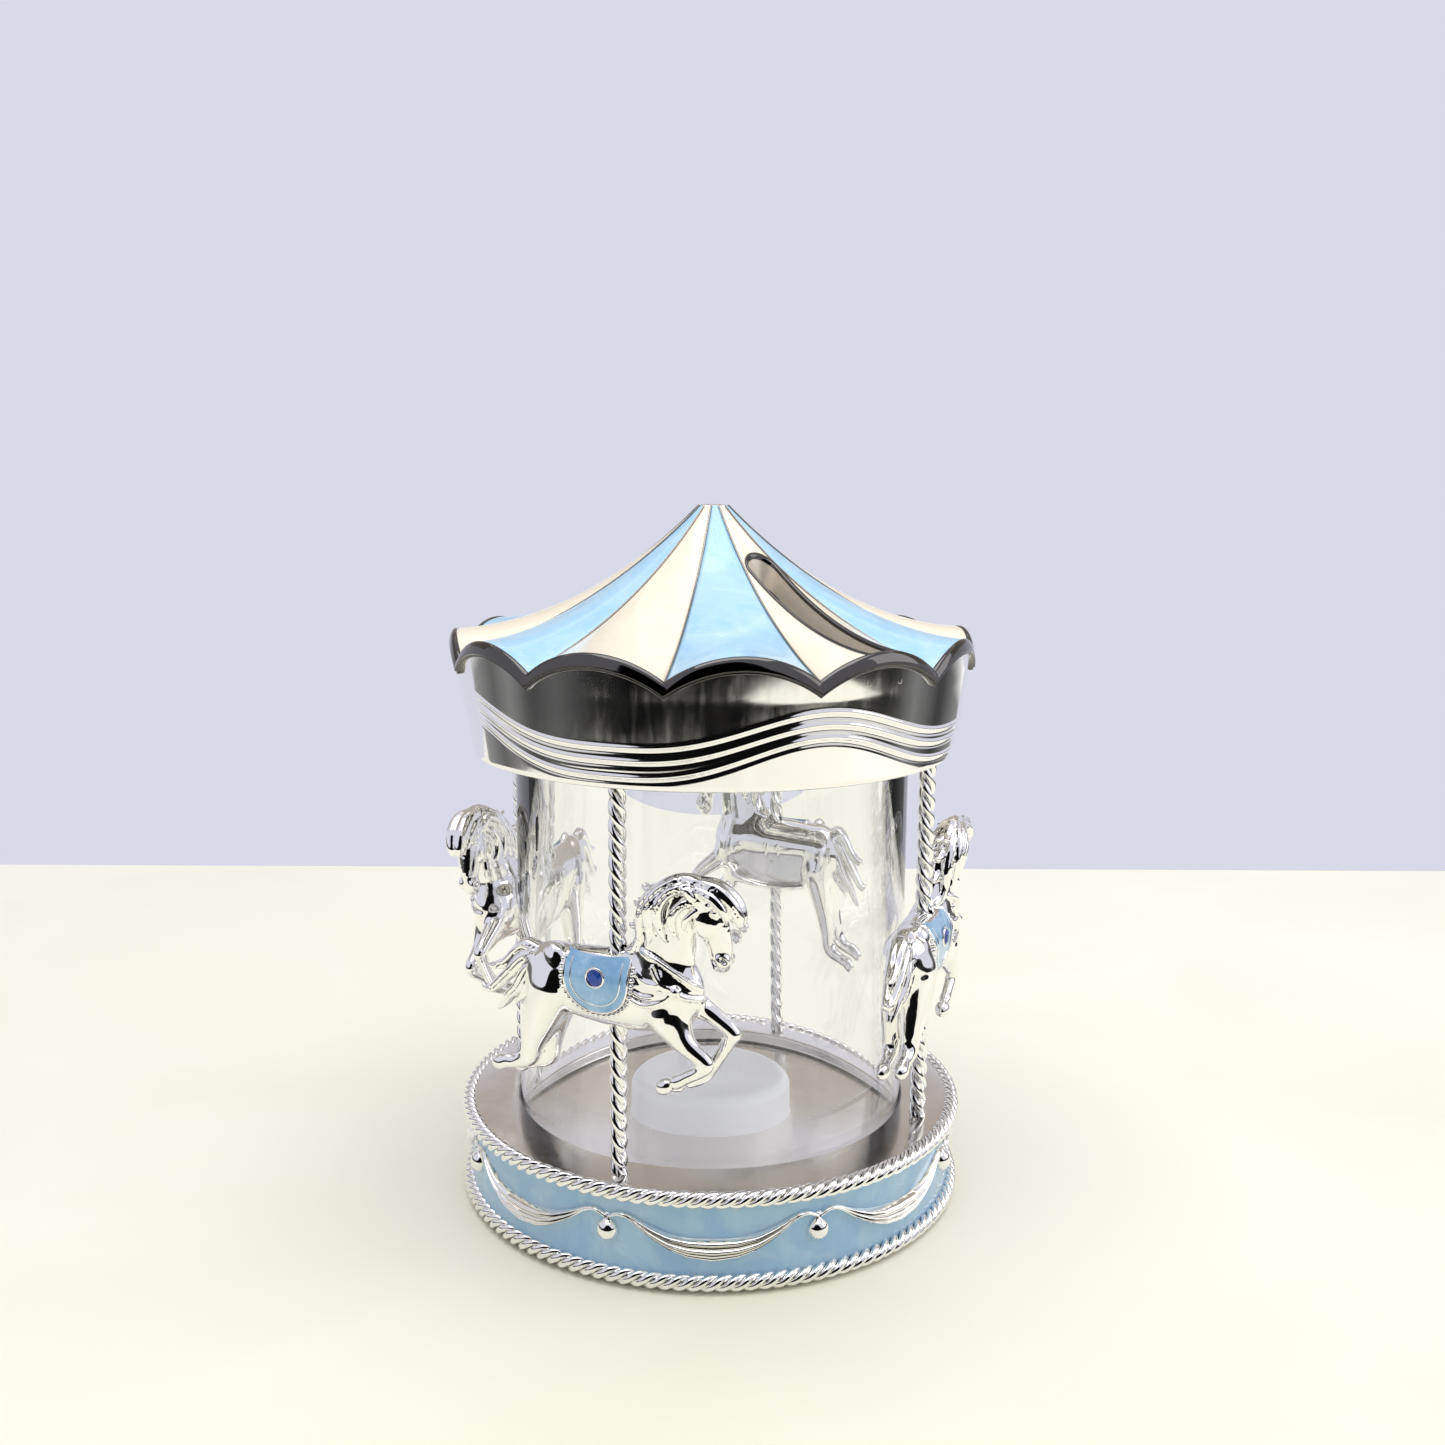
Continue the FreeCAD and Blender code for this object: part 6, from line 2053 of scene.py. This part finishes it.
@dataclass
class Horses:
    """The four jumping horses with their saddle cloths and gems. Sizes in millimetres."""

    form: HorseForm = field(default_factory=HorseForm)
    saddle: SaddleForm = field(default_factory=SaddleForm)
    ring: float = 41.0
    ride: float = 49.6
    bore: float = 1.62
    voxel: float = 0.25
    gem_centre: tuple[float, float, float] = (4.55, -2.1, 2.8)
    gem_radius: float = 1.5
    places: tuple[tuple[str, float], ...] = (("front", 270.0), ("right", 0.0), ("back", 90.0), ("left", 180.0))

    def placed(self, points: np.ndarray, azimuth: float) -> np.ndarray:
        """Points in the horse's own frame moved to a pole."""
        return turned(points + np.array([self.ring, 0.0, self.ride]), azimuth)

    def leaned(self, points: np.ndarray) -> np.ndarray:
        """Points with the neck and head leaning a little outwards.

        Args:
            points: Places in millimetres.

        Returns:
            The leaned places.
        """
        result = points.copy()
        ahead = smoothstep(2.5, 6.5, points[:, 1])
        result[:, 0] += self.form.lean * np.maximum(points[:, 2] - 3.5, 0.0) * ahead
        return result

    def gem(self) -> tuple[np.ndarray, np.ndarray]:
        """A round brilliant with a flat table, star and kite facets and a pavilion.

        Returns:
            Points and faces.
        """
        points, faces = [(0.62, 0.0, 0.0)], []
        rings = ((0.62, 0.55, 8, 0.0), (0.36, 0.83, 8, 0.5), (0.04, 1.0, 16, 0.0), (-0.06, 1.0, 16, 0.0))
        for height, share, count, phase in rings:
            for i in range(count):
                angle = TURN * (i + phase) / count
                points.append((height, self.gem_radius * share * math.cos(angle),
                               self.gem_radius * share * math.sin(angle)))
        points.append((-0.9, 0.0, 0.0))
        table, kite, girdle, under, tip = 1, 9, 17, 33, 49
        for i in range(8):
            j = (i + 1) % 8
            faces += [(0, table + i, table + j), (table + i, kite + i, table + j)]
            faces += [(table + j, kite + i, girdle + 2 * i + 1, girdle + (2 * i + 2) % 16),
                      (table + j, girdle + (2 * j) % 16, girdle + (2 * j + 1) % 16, kite + j)]
        for i in range(16):
            j = (i + 1) % 16
            faces += [(girdle + i, under + i, under + j, girdle + j), (under + i, tip, under + j)]
        return np.array(points) + np.array(self.gem_centre), faces

    def bezel(self) -> np.ndarray:
        """The ring line that holds the gem.

        Returns:
            The line's places.
        """
        angles = np.arange(40) * TURN / 40
        ring = np.stack([angles * 0.0 - 0.02, np.cos(angles), np.sin(angles)], axis=1)
        return ring * np.array([1.0, self.gem_radius + 0.06, self.gem_radius + 0.06]) + np.array(self.gem_centre)

    def lines(self, clay: Clay) -> dict[str, tuple[np.ndarray, float, bool]]:
        """The silver wires on and round the cloth: places, radius, and whether the line is closed.

        Args:
            clay: The horse's clay.

        Returns:
            The wires by label.
        """
        return {
            "border": (self.saddle.outline(clay, 0.0, self.saddle.thickness - 0.12, 5.6), 0.2, False),
            "line": (self.saddle.outline(clay, self.saddle.line_inset, self.saddle.thickness, 5.0), 0.12, False),
            "bezel": (self.bezel(), 0.24, True),
        }

    def build(self, wardrobe: Wardrobe, trees: "Trees") -> None:
        """Sculpts the horse once and sets it on every pole with its cloth, wires, beads and gem.

        Args:
            wardrobe: The built finishes.
            trees: The built node trees.
        """
        clay = Clay((-6.0, -27.5, -19.5), (6.5, 24.5, 22.8), self.voxel * (1.0))
        self.form.sculpt(clay)
        flank = Clay((-6.0, -10.5, -6.0), (6.5, 6.5, 8.5), 0.3)
        flank.rod(list(self.form.torso), 0.5, 0.56)
        flank.rod(list(self.form.flank), 1.6)
        flank.soften(3)
        clay.bore(self.bore)
        points, faces = clay.skin()
        log.info("horse: %d points", len(points))
        horse = self.leaned(points)
        cloth, cloth_faces = self.saddle.cloth(flank)
        wires = self.lines(flank)
        trim = self.saddle.outline(flank, -0.6, 0.3, 4.6)
        gem, gem_faces = self.gem()
        silver = wardrobe.material(SILVER)
        for place, azimuth in self.places:
            wardrobe.dress(mesh_object("horse_%s_cast" % place, self.placed(horse, azimuth), faces, 180.0),
                           SILVER, "horse_" + place)
            piece = mesh_object("saddle_%s_cloth" % place, self.placed(cloth, azimuth), cloth_faces, 50.0)
            wardrobe.dress(tidy_normals(piece), SADDLE_BLUE, "saddle_" + place)
            piece = mesh_object("gem_%s_cut" % place, self.placed(gem, azimuth), gem_faces, 1.0)
            wardrobe.dress(tidy_normals(piece), GEM_BLUE, "gem_" + place)
            for label, (route, radius, closed) in wires.items():
                line = line_object("line", self.placed(route, azimuth), closed)
                wire = trees.wire.bake("saddle_%s_%s" % (place, label), {"Line": line, "Wire Radius": radius * MM},
                                       silver)
                bpy.data.objects.remove(line)
                wardrobe.dress(wire, SILVER)
            line = line_object("line", self.placed(trim, azimuth))
            beads = trees.beads.bake("saddle_%s_beads" % place, {
                "Line": line, "Bead Radius": 0.42 * MM, "Spacing": 0.95 * MM}, silver)
            bpy.data.objects.remove(line)
            wardrobe.dress(beads, SILVER)
        wardrobe.dress_node("horse_pins", STEEL)


class Trees:
    """The geometry trees, each built once."""

    def __init__(self) -> None:
        """Builds every tree."""
        self.ring = twisted_ring_tree()
        self.rod = twisted_rod_tree()
        self.copies = ring_of_tree()
        self.wire = wire_tree()
        self.beads = bead_line_tree()


# ---------------------------------------------------------------- stage, light and camera


@dataclass
class Stage:
    """Floor, sky, lights, dark cards and camera. Sizes in millimetres and degrees."""

    camera_place: tuple[float, float, float] = (98.399, -246.139, 130.968)
    camera_azimuth: float = 21.79
    camera_yaw: float = 0.40482
    camera_pitch: float = 9.29271
    camera_roll: float = 0.36741
    lens: float = 35.916
    floor_back: float = 222.0

    def facing(self, azimuth: float) -> tuple[Vector, Vector]:
        """The outward and rightward directions at an azimuth measured from -Y towards +X."""
        angle = math.radians(azimuth)
        return Vector((math.sin(angle), -math.cos(angle), 0)), Vector((math.cos(angle), math.sin(angle), 0))

    def camera(self) -> None:
        """Makes the camera."""
        data = bpy.data.cameras.new("camera")
        data.sensor_width = 36.0
        data.lens = self.lens
        data.clip_start, data.clip_end = 0.01, 20.0
        camera = linked("camera", data)
        angle = math.radians(self.camera_azimuth - self.camera_yaw)
        pitch, roll = math.radians(self.camera_pitch), math.radians(self.camera_roll)
        forward = Vector((-math.sin(angle) * math.cos(pitch), math.cos(angle) * math.cos(pitch), -math.sin(pitch)))
        level = forward.cross(Vector((0, 0, 1))).normalized()
        up = level.cross(forward)
        right = level * math.cos(roll) + up * math.sin(roll)
        up = -level * math.sin(roll) + up * math.cos(roll)
        turn = Matrix((right, up, -forward)).transposed().to_4x4()
        camera.matrix_world = Matrix.Translation(Vector(self.camera_place) * MM) @ turn
        bpy.context.scene.camera = camera

    def sheet(self, name: str, corners: list[Vector], material: bpy.types.Material) -> bpy.types.Object:
        """A flat stage sheet through four corners in millimetres.

        Args:
            name: The new object's name.
            corners: The corners in order.
            material: Its material.

        Returns:
            The sheet.
        """
        mesh = bpy.data.meshes.new(name)
        mesh.from_pydata([corner * MM for corner in corners], [], [tuple(range(len(corners)))])
        mesh.materials.append(material)
        piece = linked(name, mesh)
        return piece

    def floor(self) -> None:
        """The pale floor, which ends behind the object."""
        material = bpy.data.materials.new("floor_pale")
        material.use_nodes = True
        shade = ShaderTree(material.node_tree)
        shader = material.node_tree.nodes["Principled BSDF"]
        where = shade.node("ShaderNodeTexCoord").outputs["Object"]
        cloud = shade.noise(where, 9.0, 4.0, 0.6).outputs[0]
        color = shade.mix(shade.remap(cloud, 0.4, 0.7), linear(250, 247, 226), linear(244, 241, 216))
        material.node_tree.links.new(color, shader.inputs["Base Color"])
        shader.inputs["Roughness"].default_value = 0.35
        shader.inputs["Specular IOR Level"].default_value = 0.3
        out, right = self.facing(self.camera_azimuth)
        back, front, side = -out * self.floor_back, out * 1200.0, right * 1500.0
        self.sheet("floor", [back - side, front - side, front + side, back + side], material)

    def card(self, name: str, columns: tuple[tuple[float, float, float, float], ...], distance: float,
             color: tuple[float, float, float] = (1.0, 1.0, 1.0), through: bool = False) -> None:
        """A curved card that only shows in reflections.

        Args:
            name: The card's name.
            columns: Azimuth from the camera's, lower edge, upper edge and brightness, column by column.
            distance: Its distance from the axis.
            color: Its colour.
            through: Whether reflections behind clear plastic show it too.
        """
        material = bpy.data.materials.new(name)
        material.use_nodes = True
        nodes = material.node_tree.nodes
        nodes.clear()
        shade = ShaderTree(material.node_tree)
        glow = shade.node("ShaderNodeAttribute", attribute_name="glow")
        light = shade.node("ShaderNodeEmission", {"Color": glow.outputs["Color"]})
        shade.node("ShaderNodeOutputMaterial", {0: light.outputs[0]})
        rows = np.array(columns)
        fine = np.linspace(rows[0, 0], rows[-1, 0], 72)
        points, faces, glows = [], [], []
        for i, azimuth in enumerate(fine):
            low, high, bright = (np.interp(azimuth, rows[:, 0], rows[:, k]) for k in (1, 2, 3))
            out, _ = self.facing(self.camera_azimuth + azimuth)
            for height, share in ((low, 1.0), (low + 0.75 * (high - low), 1.0), (high, 4.0)):
                points.append((out * distance + Vector((0, 0, height))) * MM)
                glows.append([bright * share * part for part in color] + [1.0])
            if i:
                k = 3 * i
                faces += [(k - 3, k, k + 1, k - 2), (k - 2, k + 1, k + 2, k - 1)]
        mesh = bpy.data.meshes.new(name)
        mesh.from_pydata(points, [], faces)
        layer = mesh.color_attributes.new("glow", "FLOAT_COLOR", "POINT")
        layer.data.foreach_set("color", np.array(glows, dtype=np.float32).ravel())
        mesh.materials.append(material)
        piece = linked(name, mesh)
        piece.visible_camera = False
        piece.visible_diffuse = False
        piece.visible_shadow = False
        piece.visible_transmission = through

    def area_light(self, name: str, place: Vector, target: Vector, size: tuple[float, float], power: float,
                   color: tuple[float, float, float] = (1.0, 1.0, 1.0)) -> None:
        """A soft rectangular light that shines at a target, all in millimetres.

        Args:
            name: The light's name.
            place: Where it stands.
            target: Where it points.
            size: Its two sides.
            power: Its power in watts.
            color: Its colour.
        """
        data = bpy.data.lights.new(name, "AREA")
        data.shape = "RECTANGLE"
        data.size, data.size_y = size[0] * MM, size[1] * MM
        data.energy = power
        data.color = color
        light = linked(name, data)
        light.location = place * MM
        light.rotation_euler = (target - place).to_track_quat("-Z", "Y").to_euler()

    def sky(self) -> None:
        """The pale surroundings."""
        world = bpy.data.worlds.new("pale_room")
        world.use_nodes = True
        background = world.node_tree.nodes["Background"]
        background.inputs["Color"].default_value = linear(212, 213, 226)
        background.inputs["Strength"].default_value = 1.05
        bpy.context.scene.world = world

    def build(self) -> None:
        """Sets the whole stage."""
        scene = bpy.context.scene
        scene.view_settings.view_transform = "Standard"
        scene.view_settings.look = "None"
        self.camera()
        self.floor()
        self.sky()
        out, right = self.facing(self.camera_azimuth)
        self.card("dark_front", (
            (-122, 10, 60, 0.3), (-104, 9, 60, 0.12), (-92, 9, 60, 0.22), (-80, 9, 60, 0.06), (-66, 8, 60, 0.1),
            (-48, 6, 64, 0.02), (-34, 3, 90, 0.004), (-25, 0.5, 260, 0.004), (8, 0.5, 260, 0.004), (18, 9, 200, 0.004),
            (34, 16, 64, 0.006), (50, 20, 60, 0.05), (60, 20, 60, 0.01), (80, 20, 60, 0.03), (92, 18, 60, 0.2),
            (112, 16, 60, 0.04), (140, 16, 60, 0.3)), 235.0)
        self.card("brown_back", ((105, 178, 520, 0.4), (180, 178, 520, 0.46), (255, 178, 520, 0.4)), 420.0,
                  (1.0, 0.9, 0.82), True)
        middle = Vector((0, 0, 60))
        self.area_light("overhead", out * 60 + Vector((0, 0, 760)), middle, (700, 520), 2.7)
        self.area_light("side_fill", right * 700 + out * 60 + Vector((0, 0, 420)), middle, (500, 500), 1.1)


# ---------------------------------------------------------------- main


def main() -> None:
    """Builds the object in order, then the stage."""
    wardrobe = Wardrobe()
    trees = Trees()
    Base().build(wardrobe, trees)
    Stopper().build(wardrobe)
    Tube().build(wardrobe)
    Poles().build(wardrobe, trees)
    Roof().build(wardrobe, trees)
    Band().build(wardrobe)
    Horses().build(wardrobe, trees)
    Stage().build()
    bpy.context.view_layer.update()


if __name__ == "__main__":
    main()
